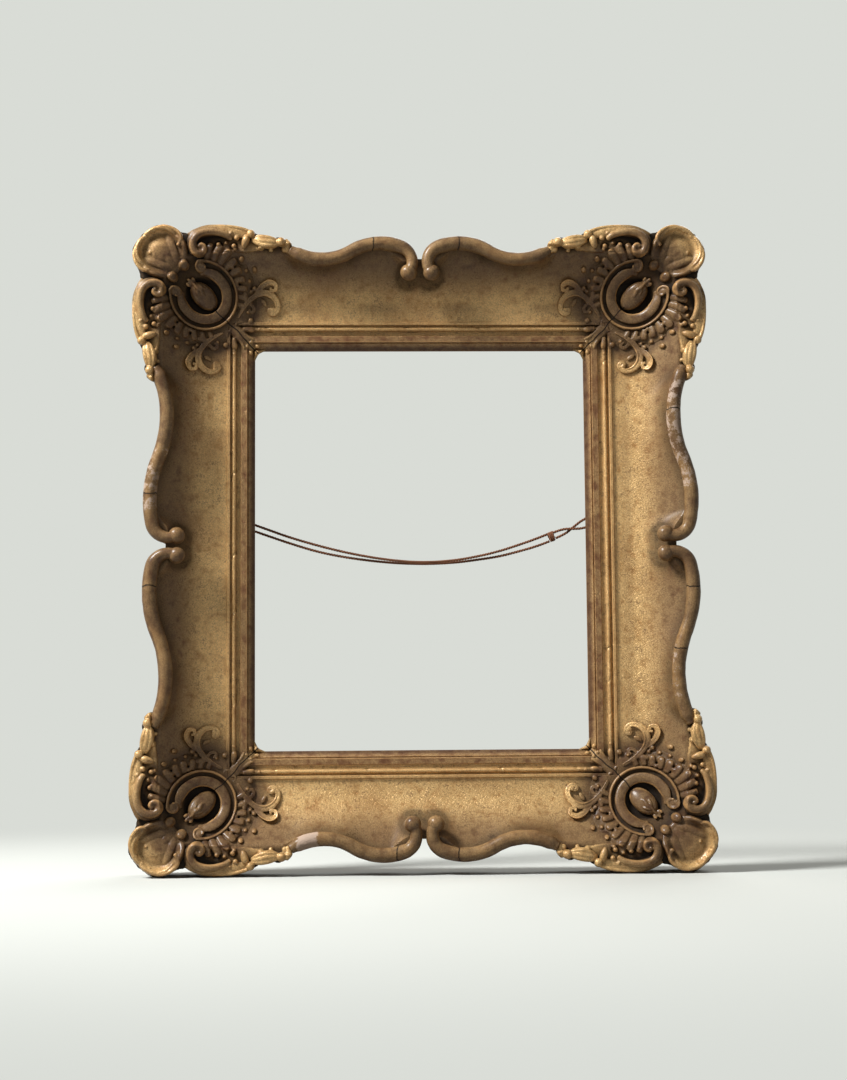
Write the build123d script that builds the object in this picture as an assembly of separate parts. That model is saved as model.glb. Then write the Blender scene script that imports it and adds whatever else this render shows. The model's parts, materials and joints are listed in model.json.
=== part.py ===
from build123d import *
import math
import os

# An ornate gilded picture frame, in millimetres. It hangs upright with its front towards -Y.
# Up to stand_up it is drawn lying on its back: X to the right, Y to its top, Z to the viewer.
# A rail is drawn as the top one. "Across" runs from the sight edge out, "height" from the back.

# The picture it holds
picture_width = 254.0
picture_height = 304.8
picture_overlap = 6.35
picture_play = 1.6
rebate_depth = 9.5

# The moulding, from the sight edge outwards
sight_edge_height = 12.5
sight_band_width = 4.4
sight_band_height = 17.0
line_width = 0.8
line_depth = 0.9
step_width = 4.8
step_height = 18.2
inner_groove_width = 3.2
inner_groove_height = 16.9
bead_radius = 1.5
bead_height = 18.6
outer_groove_width = 1.3
outer_groove_height = 17.8
fillet_width = 2.4
fillet_height = 20.6
cove_foot_height = 19.2
cove_width = 41.0
cove_hollow = 6.0
rim_height = 41.0

# The wavy outer edge and the sweeps that lie on it
sweep_radius = 5.0
sweep_rise = 1.0
sweep_centre = 67.2
wave_height = 11.8
valley_share_across = 0.59
bulge_share_across = 0.235
valley_share_up = 0.637
bulge_share_up = 0.222
curl_radius = 12.0
curl_angle = 108.0
cusp_gap = 0.6
ball_radius = 6.0
ball_rise = 0.5
corner_run_across = 27.0
corner_run_up = 18.0

# The corner ornament
corner_reach = 88.0
wood_inset = 3.0
# Points of the lobed edge as (along, across), from the mitre in towards the sweep:
# the shell, the notch, the scroll, the dip and the link. Every second one is an arc's middle.
lobe_shares = [
    (0.915, 0.915), (0.76, 1.0), (0.535, 0.93), (0.28, 0.995), (0.0, 0.935),
    (-0.07, 0.885), (-0.13, 0.86), (-0.215, 0.895), (-0.29, 0.81),
]
ground_thickness = 2.4
ground_centre = 36.0
ground_radius = 39.0
ground_band_share = 0.75
cartouche_centre = 33.0
cartouche_rise = 8.4
cartouche_depth = 16.0
cartouche_tilt = 18.0
cartouche_radius = 21.0
cartouche_skirt = 2.9
horseshoe_wire = 2.3
horseshoe_opening = 82.0
volute_radius = 3.7
dish_hollow = 3.2
boss_length = 29.0
boss_width = 19.0
boss_shift = 3.5
boss_rise = 0.8
shell_centre = 66.0
shell_radius = 19.5
shell_rise = 5.1
shell_rim = 3.2
shell_hollow = 4.4
shell_depth = 16.0
scroll_radius = 3.4
scroll_rise = 2.1
scroll_shares = [(0.0, 0.875), (0.27, 0.94), (0.475, 0.865), (0.49, 0.80), (0.43, 0.775)]
scroll_ball = 4.8
link_radii = [3.9, 3.2, 3.9, 3.0]
link_shares = [(-0.045, 0.84), (-0.115, 0.795), (-0.19, 0.825), (-0.255, 0.80)]
link_core = 2.2
link_rise = 1.5
sprig_thickness = 2.4
sprig_width = 3.6
sprig_bud = 2.8
# A sprig's spine as (along, across): its stem, its curl and its leaf
sprig_shares = [
    (0.06, 0.24), (0.0, 0.37), (-0.09, 0.44), (-0.19, 0.43), (-0.24, 0.35),
    (-0.215, 0.275), (-0.165, 0.30),
]
sprig_leaf_shares = [(-0.06, 0.42), (-0.07, 0.50), (-0.115, 0.545)]
sight_leaf_thickness = 2.0
sight_leaf_reach = 25.0
sight_leaf_foot = 2.5
sight_leaf_waist = 9.0
through = 120.0

# The hardware on the back
key_length = 42.0
key_width = 9.0
key_thickness = 4.0
key_place = 42.0
nail_radius = 0.9
nail_length = 38.0
nail_places = [(50.0, 12.0), (60.0, 25.0)]
eye_wire = 0.9
eye_radius = 3.5
eye_neck = 0.4
eye_start_angle = -90.0
eye_arc_angle = 350.0
eye_shank = 12.0
eye_from_rebate = 14.0
eye_up = 28.0
hole_clearance = 0.05
button_length = 23.0
button_width = 10.0
button_thickness = 1.6
button_end = 5.5
button_seat = 0.3
button_from_rebate = 7.5
button_down_share = 0.18
screw_radius = 1.5
screw_length = 12.0
screw_head_radius = 3.2
screw_head_height = 1.5

# The hanging cord, as it hangs upright: X to the right, Y to the wall, Z up.
# Its knots are blocks that the strands and the loops run into squarely.
cord_diameter = 2.0
knot_length = 5.2
knot_depth = 5.0
knot_height = 8.8
knot_round = 0.7
right_knot_centre = (97.0, 5.2, 10.0)
right_knot_slope = (0.93, 0.0, 0.37)
left_knot_centre = (-126.0, 5.4, 18.8)
left_knot_slope = (0.94, 0.0, -0.34)
upper_strand = [
    (-122.807, 5.4, 19.984), (-113.403, 5.4, 16.583), (-97.0, 5.2, 10.5), (-75.0, 4.8, 3.9),
    (-52.0, 4.4, -1.9), (-25.0, 4.0, -6.8), (1.0, 4.0, -9.0), (25.0, 4.0, -7.6),
    (44.0, 4.2, -4.2), (58.8, 4.6, -0.6), (70.5, 5.0, 3.2), (84.295, 5.2, 7.851),
    (93.586, 5.2, 11.548),
]
lower_strand = [
    (-124.303, 5.4, 15.847), (-114.899, 5.4, 12.445), (-97.0, 5.6, 6.2), (-75.0, 5.8, -0.7),
    (-52.0, 6.1, -5.2), (-25.0, 6.3, -8.6), (1.0, 6.4, -9.9), (25.0, 6.4, -9.0),
    (44.0, 6.2, -6.6), (58.8, 6.0, -4.4), (70.5, 5.6, -1.4), (86.291, 5.2, 2.834),
    (95.582, 5.2, 6.530),
]
right_loop = [
    (98.603, 5.2, 13.005), (105.478, 5.2, 15.741), (113.0, 4.0, 15.5), (121.5, 4.3, 16.0),
    (130.5, 5.0, 20.5), (138.5, 5.6, 27.2), (145.5, 5.7, 28.2), (145.5, 11.1, 28.2),
    (138.5, 10.8, 27.6), (130.0, 8.8, 26.6), (121.5, 7.2, 23.2), (113.6, 6.7, 17.3),
    (107.105, 5.2, 11.653), (100.229, 5.2, 8.917),
]
left_loop = [
    (-127.901, 5.4, 21.189), (-132.603, 5.4, 22.890), (-139.5, 5.6, 27.4),
    (-145.5, 5.7, 28.2), (-145.5, 11.1, 28.2), (-139.5, 11.1, 26.8),
    (-134.011, 5.4, 19.996), (-128.989, 5.4, 18.180),
]
run_share = 0.45

# Sizes worked out from the ones above
sight_width = picture_width - 2 * picture_overlap
sight_height = picture_height - 2 * picture_overlap
rebate_width = picture_overlap + picture_play
half_width = sight_width / 2
half_height = sight_height / 2
step_from = sight_band_width + line_width
groove_from = step_from + step_width
bead_from = groove_from + inner_groove_width
bead_to = bead_from + 2 * bead_radius
fillet_from = bead_to + outer_groove_width
cove_from = fillet_from + fillet_width
cove_to = cove_from + cove_width
eye_across = rebate_width + eye_from_rebate
button_across = rebate_width + button_from_rebate
eye_centre_height = eye_neck + eye_wire + eye_radius
blank_width = corner_reach
sweep_height = rim_height + sweep_rise
ball_height = sweep_height + ball_rise
link_height = rim_height + link_rise
shell_height = rim_height + ground_thickness + shell_rise
scroll_height = rim_height + ground_thickness + scroll_rise
cartouche_height = fillet_height + cartouche_rise


def line_along(points):
    """A chain of straight edges through the points."""
    return [Line(a, b) for a, b in zip(points, points[1:])]


def profile(raised=0.0):
    """The rail's section as (across, height), raised as a whole for what is laid on it."""
    bead_low = (bead_from, bead_height)
    bead_high = (bead_from + bead_radius, bead_height + bead_radius)
    bead_end = (bead_to, bead_height)
    cove_in = (cove_from, cove_foot_height)
    cove_out = (cove_to, rim_height)
    chord = math.hypot(cove_width, rim_height - cove_foot_height)
    middle = (
        cove_from + cove_width / 2 + cove_hollow * (rim_height - cove_foot_height) / chord,
        (cove_foot_height + rim_height) / 2 - cove_hollow * cove_width / chord,
    )
    edges = line_along([
        (blank_width, rim_height), (blank_width, 0), (rebate_width, 0),
        (rebate_width, rebate_depth), (0, rebate_depth), (0, sight_edge_height),
        (sight_band_width, sight_band_height),
        (sight_band_width, sight_band_height - line_depth),
        (step_from, sight_band_height - line_depth), (step_from, step_height),
        (groove_from, step_height), (groove_from, inner_groove_height),
        (bead_from, inner_groove_height), bead_low,
    ])
    edges.append(ThreePointArc(bead_low, bead_high, bead_end))
    edges += line_along([
        bead_end, (bead_to, outer_groove_height), (fillet_from, outer_groove_height),
        (fillet_from, fillet_height), (cove_from, fillet_height), cove_in,
    ])
    edges.append(ThreePointArc(cove_in, middle, cove_out))
    edges.append(Line(cove_out, (blank_width, rim_height)))
    return Pos(0, raised) * make_face(edges)


def blank(half_length, offset, raised=0.0):
    """A straight length of moulding, its sight edge at that offset from the middle."""
    start = Plane(origin=(-half_length, offset, 0), x_dir=(0, 1, 0), z_dir=(1, 0, 0))
    return extrude(start * profile(raised), 2 * half_length)


def wave(half, run, valley_share, bulge_share, offset):
    """The arcs of a sweep's middle line, from the corner to the ball: valley, bulge, curl."""
    valley_at = half * valley_share
    bulge_at = half * bulge_share
    reach = (valley_at - bulge_at) / 2
    rise = wave_height / 2
    radius = (reach**2 + rise**2) / (2 * rise)
    slope = 2 * math.degrees(math.atan(rise / reach))
    end_x = half - run
    lead = math.asin((end_x - valley_at) / radius)
    low = offset + sweep_centre - wave_height / 2
    start = (end_x, low + radius * (1 - math.cos(lead)))
    heading = (-math.cos(lead), -math.sin(lead))
    valley = JernArc(start, heading, radius, -(math.degrees(lead) + slope))
    fall = math.asin((bulge_at - curl_radius - sweep_radius - cusp_gap) / (radius - curl_radius))
    bulge = JernArc(valley @ 1, valley % 1, radius, slope + math.degrees(fall))
    curl = JernArc(bulge @ 1, bulge % 1, curl_radius, curl_angle)
    return valley, bulge, curl


def lobe_points(half, offset, reach):
    """The points of the lobed corner edge, for the corner at the rail's +X end."""
    return [(half + along * reach, offset + across * reach) for along, across in lobe_shares]


def lobe_arcs(points):
    """Arcs through the points, every second one the middle of an arc."""
    return [ThreePointArc(*points[i:i + 3]) for i in range(0, len(points) - 2, 2)]


def rail_plan(half, run, valley_share, bulge_share, offset):
    """The rail's outline seen from the front: sight edge, mitres and wavy outer edge."""
    valley, bulge, _ = wave(half, run, valley_share, bulge_share, offset)
    lobes = lobe_points(half, offset, corner_reach - wood_inset)
    cusp = (sweep_radius + cusp_gap, offset + sweep_centre - wave_height / 2)
    edges = line_along([(0, offset), (half, offset), lobes[0]])
    edges += lobe_arcs(lobes)
    edges += [Line(lobes[-1], valley @ 0), valley, bulge]
    edges += line_along([bulge @ 1, cusp, (0, cusp[1]), (0, offset)])
    face = make_face(edges)
    return face + mirror(face, about=Plane.YZ)


def rail(half, run, valley_share, bulge_share, offset):
    """One mitred rail with its rebate, drawn as the top one."""
    plan = rail_plan(half, run, valley_share, bulge_share, offset)
    return blank(half + blank_width, offset) & extrude(plan, through)


def tube(path_edges, radius):
    """A round bar along the edges."""
    path = Wire(path_edges)
    section = Plane(origin=path @ 0, z_dir=path % 0) * Circle(radius)
    return sweep(section, path=path)


def sweep_bar(half, run, valley_share, bulge_share, offset):
    """One S-shaped sweep with its ball, on the rail's +X half."""
    arcs = wave(half, run, valley_share, bulge_share, offset)
    ball = arcs[-1] @ 1
    bar = Pos(0, 0, sweep_height) * tube(arcs, sweep_radius)
    return bar + Pos(ball.X, ball.Y, ball_height) * Sphere(ball_radius)


def to_side(solid):
    """Turns what is drawn at the top, with the frame's height as its width, to the right."""
    return Rot(0, 0, -90) * solid


def swap(solid):
    """Mirrors a corner piece about its mitre."""
    return mirror(solid, about=Plane(origin=(0, 0, 0), x_dir=(1, 1, 0), z_dir=(1, -1, 0)))


def at_corner(solid):
    """Moves a piece drawn about the sight corner to the frame's top right corner."""
    return Pos(half_width, half_height, 0) * solid


def corner_moulding(raised=0.0):
    """Both rails' moulding about the sight corner, mitred and without an outer edge."""
    rail_blank = blank(through, 0, raised)
    wedge = make_face(line_along([(0, 0), (through, through), (-through, through),
                                  (-through, 0), (0, 0)]))
    half = rail_blank & extrude(wedge, through)
    return half + swap(half)


def laid(plan, thickness, moulding):
    """A piece of even thickness with that plan, laid on the moulding."""
    return (extrude(plan, through) & corner_moulding(thickness)) - moulding


def ribbon(points, width):
    """The plan of a bent ribbon with round ends, along arcs through the points."""
    spine = lobe_arcs(points)
    plan = Sketch()
    for arc in spine:
        plan += trace(arc, line_width=width)
    for point in points[::2]:
        plan += Pos(*point) * Circle(width / 2)
    return plan


def at_reach(shares, reach=corner_reach):
    """Shares of the corner's reach turned to points about the sight corner."""
    return [(along * reach, across * reach) for along, across in shares]


def lobed_plan(reach):
    """The whole lobed corner seen from the front, about the sight corner."""
    points = at_reach(lobe_shares, reach)
    arcs = lobe_arcs(points)
    half = make_face(arcs + line_along([points[-1], (points[-1][0], 0), (0, 0), points[0]]))
    return half + mirror(half, about=Plane(origin=(0, 0, 0), x_dir=(1, 1, 0), z_dir=(1, -1, 0)))


def cartouche_plane():
    """The tilted plane of the cartouche: x out along the mitre, z to the viewer."""
    lean = math.radians(cartouche_tilt)
    out = math.sqrt(0.5)
    return Plane(
        origin=(cartouche_centre, cartouche_centre, cartouche_height),
        x_dir=(out * math.cos(lean), out * math.cos(lean), math.sin(lean)),
        z_dir=(-out * math.sin(lean), -out * math.sin(lean), math.cos(lean)),
    )


def dome(radius, depth):
    """A shallow bowl to cut: a cap of a sphere below the plane z = 0."""
    ball = (radius**2 + depth**2) / (2 * depth)
    cap = Pos(0, 0, ball - depth) * Sphere(ball)
    return cap & Pos(0, 0, -depth / 2) * Cylinder(radius, depth)


def cartouche():
    """The horseshoe: a hollowed disc with a round rim that ends in two volutes."""
    body_radius = cartouche_radius + cartouche_skirt
    disc = Pos(0, 0, -cartouche_depth / 2) * Cylinder(body_radius, cartouche_depth)
    disc -= dome(cartouche_radius, dish_hollow)
    half_opening = horseshoe_opening / 2
    rim_arc = CenterArc((0, 0), cartouche_radius, half_opening, 360 - horseshoe_opening)
    body = disc + tube([rim_arc], horseshoe_wire)
    for end in (rim_arc @ 0, rim_arc @ 1):
        body += Pos(end.X, end.Y, 0) * Sphere(volute_radius)
    return cartouche_plane() * body


def boss():
    """The long oval boss in the cartouche, a sphere drawn out along the mitre."""
    body = scale(Sphere(1), by=(boss_length / 2, boss_width / 2, boss_width / 2))
    return cartouche_plane() * Pos(boss_shift, 0, boss_rise) * body


def shell():
    """The round shell at the outer corner, hollow within a rolled rim."""
    disc = Pos(0, 0, -shell_depth / 2) * Cylinder(shell_radius - shell_rim, shell_depth)
    rim = Torus(shell_radius - shell_rim, shell_rim)
    bowl = dome(shell_radius - 2 * shell_rim, shell_hollow)
    return Pos(shell_centre, shell_centre, shell_height) * (disc + rim - bowl)


def scroll():
    """One C-scroll beside the shell, with its curled end."""
    points = at_reach(scroll_shares)
    arcs = lobe_arcs(points)
    body = Pos(0, 0, scroll_height) * tube([arcs[0]], scroll_radius)
    body += Pos(0, 0, scroll_height) * tube([arcs[1]], scroll_radius)
    for point, radius in ((points[0], scroll_radius), (points[2], scroll_radius),
                          (points[-1], scroll_ball)):
        body += Pos(point[0], point[1], scroll_height) * Sphere(radius)
    return body


def link():
    """The husk of beads on a core that joins the corner to a sweep."""
    points = [(*point, link_height) for point in at_reach(link_shares)]
    body = Part()
    for point, radius in zip(points, link_radii):
        body += Pos(*point) * Sphere(radius)
    for a, b in zip(points, points[1:]):
        body += tube([Line(a, b)], link_core)
    return body


def sprig_plan():
    """A leafy scroll that runs out along the cove."""
    spine = at_reach(sprig_shares)
    leaf = at_reach(sprig_leaf_shares)
    plan = ribbon(spine, sprig_width) + ribbon(leaf, sprig_width)
    return plan + Pos(*spine[-1]) * Circle(sprig_bud) + Pos(*leaf[-1]) * Circle(sprig_bud)


def sight_leaf_plan():
    """The leaf that hides the mitre of the bead and steps: a star with three points."""
    reach = sight_leaf_reach
    waist = sight_leaf_waist
    foot = sight_leaf_foot
    half = [(foot, foot), (foot - waist, waist), (foot, 2 * waist), (waist, reach - waist / 2),
            (reach - waist / 2, reach - waist / 2)]
    edges = line_along(half + [(foot, foot)])
    face = make_face(edges)
    return face + mirror(face, about=Plane(origin=(0, 0, 0), x_dir=(1, 1, 0), z_dir=(1, -1, 0)))


def cut(solid, *others):
    """The solid without what it shares with each of the others in turn."""
    for other in others:
        solid = solid - other
    return solid


def main_piece(solid):
    """The largest of the solids that the cuts leave."""
    return solid.solids().sort_by(SortBy.VOLUME)[-1]


def ground_plan():
    """The ground: a disc in the coves under the cartouche and a band along the lobed edge."""
    band = corner_reach * ground_band_share
    inside = Pos(cove_from, cove_from) * Rectangle(through, through, align=(Align.MAX, Align.MAX))
    disc = Pos(ground_centre, ground_centre) * Circle(ground_radius) - inside
    edge = make_face(line_along([
        (-through, band), (band, band), (band, -through), (through, -through),
        (through, through), (-through, through), (-through, band),
    ]))
    return lobed_plan(corner_reach - wood_inset / 2) & (disc + edge)


def corner_set():
    """The corner's pieces about the sight corner, each cut where it lies on another."""
    moulding = corner_moulding()
    ground = laid(ground_plan(), ground_thickness, moulding)
    horseshoe = cut(cartouche(), moulding, ground)
    middle = boss() - cartouche()
    corner_shell = main_piece(cut(shell(), moulding, ground))
    one_scroll = cut(scroll(), moulding, ground, corner_shell)
    one_link = cut(link(), moulding, ground, one_scroll)
    one_sprig = main_piece(cut(laid(sprig_plan(), sprig_thickness, moulding), ground))
    leaf = cut(laid(sight_leaf_plan(), sight_leaf_thickness, moulding), ground, horseshoe)
    leaf = main_piece(leaf)
    return {
        "ground": ground, "cartouche": horseshoe, "boss": middle, "shell": corner_shell,
        "scrolls": [one_scroll, swap(one_scroll)], "links": [one_link, swap(one_link)],
        "sprigs": [one_sprig, swap(one_sprig)], "sight_leaf": leaf,
    }


def stand_up(solid):
    """From lying on its back to hanging upright, with its front to -Y."""
    return Rot(90, 0, 0) * solid


def mitre_key():
    """A flat key let into the back across the mitre, about the sight corner."""
    return Pos(key_place, key_place, key_thickness / 2) * Rot(0, 0, -45) \
        * Box(key_length, key_width, key_thickness)


def mitre_nails():
    """The nails across the mitre, one in each place, driven in along X and filled over."""
    return [
        Pos(across, across, height) * Rot(0, 90, 0) * Cylinder(nail_radius, nail_length)
        for across, height in nail_places
    ]


def screw_eye():
    """A screw eye about its hole in the back: shank into the wood, ring behind it."""
    arc = CenterArc((0, 0), eye_radius, eye_start_angle, eye_arc_angle)
    ring = Plane(origin=(0, 0, -eye_centre_height), x_dir=(0, 1, 0), z_dir=(1, 0, 0)) \
        * tube([arc], eye_wire)
    top = eye_radius - eye_centre_height
    shank = Pos(0, 0, (eye_shank + top) / 2) * Cylinder(eye_wire, eye_shank - top)
    return ring + shank


def eye_hole():
    """The hole that a screw eye's shank fills."""
    return Pos(0, 0, eye_shank / 2) * Cylinder(eye_wire + hole_clearance, eye_shank)


def turn_button():
    """A flat turn button about its screw, pointing away from the picture."""
    middle = button_length / 2 - button_end
    plan = Pos(0, middle) * Rot(0, 0, 90) * SlotOverall(button_length, button_width)
    plan -= Circle(screw_radius + hole_clearance)
    return Pos(0, 0, -button_seat - button_thickness) * extrude(plan, button_thickness)


def button_screw():
    """The round-headed screw that a turn button turns on."""
    under_head = -2 * button_seat - button_thickness
    head = Pos(0, 0, under_head - screw_head_height / 2) \
        * Cylinder(screw_head_radius, screw_head_height)
    head = fillet(head.edges().sort_by(Axis.Z)[0], screw_head_height / 2)
    shank = Pos(0, 0, (screw_length + under_head) / 2) \
        * Cylinder(screw_radius, screw_length - under_head)
    return head + shank


def screw_hole():
    """The hole in the wood for a button's screw."""
    return Pos(0, 0, screw_length / 2) * Cylinder(screw_radius + hole_clearance, screw_length)


def cord(name, points):
    """A round cord: straight runs joined by arcs as large as the runs allow."""
    places = [Vector(point) for point in points]
    radii = []
    for a, b, c in zip(places, places[1:], places[2:]):
        turn = math.radians((b - a).get_angle(c - b))
        run = min((b - a).length, (c - b).length)
        radii.append(run_share * run / math.tan(turn / 2))
    path = FilletPolyline(*places, radius=radii).wire()
    section = Plane(origin=path @ 0, z_dir=path % 0) * Circle(cord_diameter / 2)
    solid = sweep(section, path=path)
    expected = math.pi * cord_diameter**2 / 4 * path.length
    print(name, "length", round(path.length, 1), "mm, volume over section times length",
          round(solid.volume / expected, 4), "radii", [round(radius, 1) for radius in radii])
    return solid


def knot(centre, slope):
    """The block of a knot, square to the cords that run into it."""
    along = Vector(slope).normalized()
    plane = Plane(origin=centre, x_dir=along, z_dir=Vector(0, 1, 0))
    body = Box(knot_length, knot_height, knot_depth)
    return plane * fillet(body.edges(), knot_round)


def save(name, *solids):
    """Writes a piece, or a group of separate ones, as one node."""
    export_step(solids[0] if len(solids) == 1 else Compound(children=list(solids)),
                f"parts/{name}.step")


os.makedirs("parts", exist_ok=True)

across = (half_width, corner_run_across, valley_share_across, bulge_share_across, half_height)
up = (half_height, corner_run_up, valley_share_up, bulge_share_up, half_width)
top_rail = rail(*across)
right_rail = to_side(rail(*up))
rails = {
    "rail_top": top_rail,
    "rail_bottom": mirror(top_rail, about=Plane.XZ),
    "rail_right": right_rail,
    "rail_left": mirror(right_rail, about=Plane.YZ),
}

# The corners: each is the top right one or its mirror image
corners = {
    "top_right": lambda solid: solid,
    "top_left": lambda solid: mirror(solid, about=Plane.YZ),
    "bottom_right": lambda solid: mirror(solid, about=Plane.XZ),
    "bottom_left": lambda solid: Rot(0, 0, 180) * solid,
}
ornament = corner_set()
key = at_corner(mitre_key())
nails = [at_corner(nail) for nail in mitre_nails()]
for corner, place in corners.items():
    for piece, solid in ornament.items():
        solids = solid if isinstance(solid, list) else [solid]
        save(f"{piece}_{corner}", *[stand_up(place(at_corner(one))) for one in solids])
fixings = [place(one) for place in corners.values() for one in [key, *nails]]
save("mitre_keys", *[stand_up(place(key)) for place in corners.values()])
save("mitre_nails", *[stand_up(place(nail)) for place in corners.values() for nail in nails])

# The sweeps, cut where they lie on the rails and the corners' links
corner_link = at_corner(ornament["links"][0])
side_link = at_corner(ornament["links"][1])
corner_ground = at_corner(ornament["ground"])
top_sweep = sweep_bar(*across) - top_rail - corner_ground - corner_link
side_sweep = to_side(mirror(sweep_bar(*up), about=Plane.YZ)) - right_rail - corner_ground \
    - side_link
for corner, place in corners.items():
    end, side = corner.split("_")
    save(f"sweep_{end}_at_{side}", stand_up(place(top_sweep)))
    save(f"sweep_{side}_at_{end}", stand_up(place(side_sweep)))

# The hardware: eyes and turn buttons on the backs of the rails
eyes = {
    "screw_eye_right": Pos(half_width + eye_across, eye_up, 0),
    "screw_eye_left": Pos(-half_width - eye_across, eye_up, 0),
}
button_drop = -button_down_share * sight_height
buttons = {
    "turn_button_top": Pos(0, half_height + button_across, 0),
    "turn_button_bottom": Pos(0, -half_height - button_across, 0) * Rot(0, 0, 180),
    "turn_button_right": Pos(half_width + button_across, button_drop, 0) * Rot(0, 0, -90),
    "turn_button_left": Pos(-half_width - button_across, button_drop, 0) * Rot(0, 0, 90),
}
holes = [place * eye_hole() for place in eyes.values()]
holes += [place * screw_hole() for place in buttons.values()]
for name, solid in rails.items():
    for taken in fixings + holes:
        solid -= taken
    save(name, stand_up(solid))
for name, place in eyes.items():
    save(name, stand_up(place * screw_eye()))
for name, place in buttons.items():
    save(name, stand_up(place * turn_button()))
save("button_screws", *[stand_up(place * button_screw()) for place in buttons.values()])

# The hanging cord, already upright
save("cord_knot_right", knot(right_knot_centre, right_knot_slope))
save("cord_knot_left", knot(left_knot_centre, left_knot_slope))
save("cord_upper_strand", cord("upper strand", upper_strand))
save("cord_lower_strand", cord("lower strand", lower_strand))
save("cord_right_loop", cord("right loop", right_loop))
save("cord_left_loop", cord("left loop", left_loop))
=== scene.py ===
"""An old gilded frame with swept sides and pressed corner ornament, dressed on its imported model.

The surfaces are drawn in bench millimetres: x to the right, y to the frame's top and h towards the
viewer. Corner pieces are drawn about the top right sight corner, u out along x and v out along y,
and then mirrored. write_gilded() turns them upright and to metres: (x, -h, y).
"""

import json
import math

import bpy
import numpy as np
from bpy.props import FloatProperty, FloatVectorProperty, PointerProperty
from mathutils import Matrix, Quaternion, Vector

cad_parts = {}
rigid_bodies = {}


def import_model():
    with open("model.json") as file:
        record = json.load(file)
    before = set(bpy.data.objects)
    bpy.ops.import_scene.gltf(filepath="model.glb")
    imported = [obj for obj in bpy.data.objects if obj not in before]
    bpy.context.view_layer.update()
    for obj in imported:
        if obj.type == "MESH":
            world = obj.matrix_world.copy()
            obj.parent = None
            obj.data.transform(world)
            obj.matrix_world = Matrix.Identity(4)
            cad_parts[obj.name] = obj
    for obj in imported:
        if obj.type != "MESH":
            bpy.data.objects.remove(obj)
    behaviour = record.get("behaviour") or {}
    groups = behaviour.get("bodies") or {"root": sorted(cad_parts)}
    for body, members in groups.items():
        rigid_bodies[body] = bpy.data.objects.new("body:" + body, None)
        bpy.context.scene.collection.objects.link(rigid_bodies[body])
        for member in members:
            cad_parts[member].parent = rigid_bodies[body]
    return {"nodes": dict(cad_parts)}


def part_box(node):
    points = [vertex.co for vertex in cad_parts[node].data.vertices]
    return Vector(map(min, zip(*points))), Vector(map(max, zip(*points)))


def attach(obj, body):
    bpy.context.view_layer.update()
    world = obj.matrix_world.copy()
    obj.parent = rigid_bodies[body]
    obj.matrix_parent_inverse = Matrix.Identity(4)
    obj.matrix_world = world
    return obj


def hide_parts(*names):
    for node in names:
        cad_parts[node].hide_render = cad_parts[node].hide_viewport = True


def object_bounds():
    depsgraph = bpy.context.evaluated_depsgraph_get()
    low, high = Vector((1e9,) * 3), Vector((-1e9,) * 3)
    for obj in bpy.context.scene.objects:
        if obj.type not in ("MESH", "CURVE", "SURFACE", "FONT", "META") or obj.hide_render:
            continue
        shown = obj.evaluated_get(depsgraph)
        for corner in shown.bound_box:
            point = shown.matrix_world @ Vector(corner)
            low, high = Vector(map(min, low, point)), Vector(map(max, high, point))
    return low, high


bl_info = {
    "name": "Gilded swept frame",
    "version": (1, 0, 0),
    "blender": (4, 5, 0),
    "location": "View3D > Sidebar > Gilded frame",
    "description": "Builds an antique gilded frame with its corner ornament, twine and studio",
    "category": "Add Mesh",
}

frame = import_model()
cad_low, cad_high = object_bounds()
MM = 0.001
HALF_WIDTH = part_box("rail_right")[0][0] / MM
HALF_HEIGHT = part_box("rail_top")[0][2] / MM
CAD_REACH = cad_high[0] / MM - HALF_WIDTH
CORNERS = {"top_right": (1, 1), "top_left": (-1, 1), "bottom_right": (1, -1), "bottom_left": (-1, -1)}


def linear(hex_colour):
    """An sRGB hex colour as linear RGBA."""
    channels = [int(hex_colour[i:i + 2], 16) / 255 for i in (0, 2, 4)]
    return tuple(c / 12.92 if c <= 0.04045 else ((c + 0.055) / 1.055) ** 2.4 for c in channels) + (1.0,)


def length(name, description, default):
    """A length property, with its default in millimetres."""
    return FloatProperty(name=name, description=description, default=default * MM, unit="LENGTH")


def colour(name, description, default):
    """A colour property, with its default as sRGB hex."""
    return FloatVectorProperty(name=name, description=description, default=linear(default),
                               size=4, subtype="COLOR", min=0, max=1)


class FrameSizes(bpy.types.PropertyGroup):
    """The sizes that give the frame its look."""
    bead_radius: length("Bead radius", "Half the width of the round bead", 1.5)
    cove_width: length("Cove width", "Width of the wide hollow", 41.0)
    cove_hollow: length("Cove hollow", "Depth of the hollow below its chord", 6.0)
    rim_height: length("Rim height", "Height of the outer rim over the back", 41.0)
    sweep_radius: length("Sweep radius", "Half the thickness of the wavy bars", 5.0)
    ball_radius: length("Ball radius", "Radius of the balls that end the sweeps", 6.1)
    horseshoe_radius: length("Horseshoe radius", "Radius of the horseshoe's crest", 22.2)
    shell_radius: length("Shell radius", "Radius of the corner shell", 19.4)
    pearl_radius: length("Pearl radius", "Radius of the small pearls", 1.5)
    twine_radius: length("Twine radius", "Half the thickness of one cord", 1.0)


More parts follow.
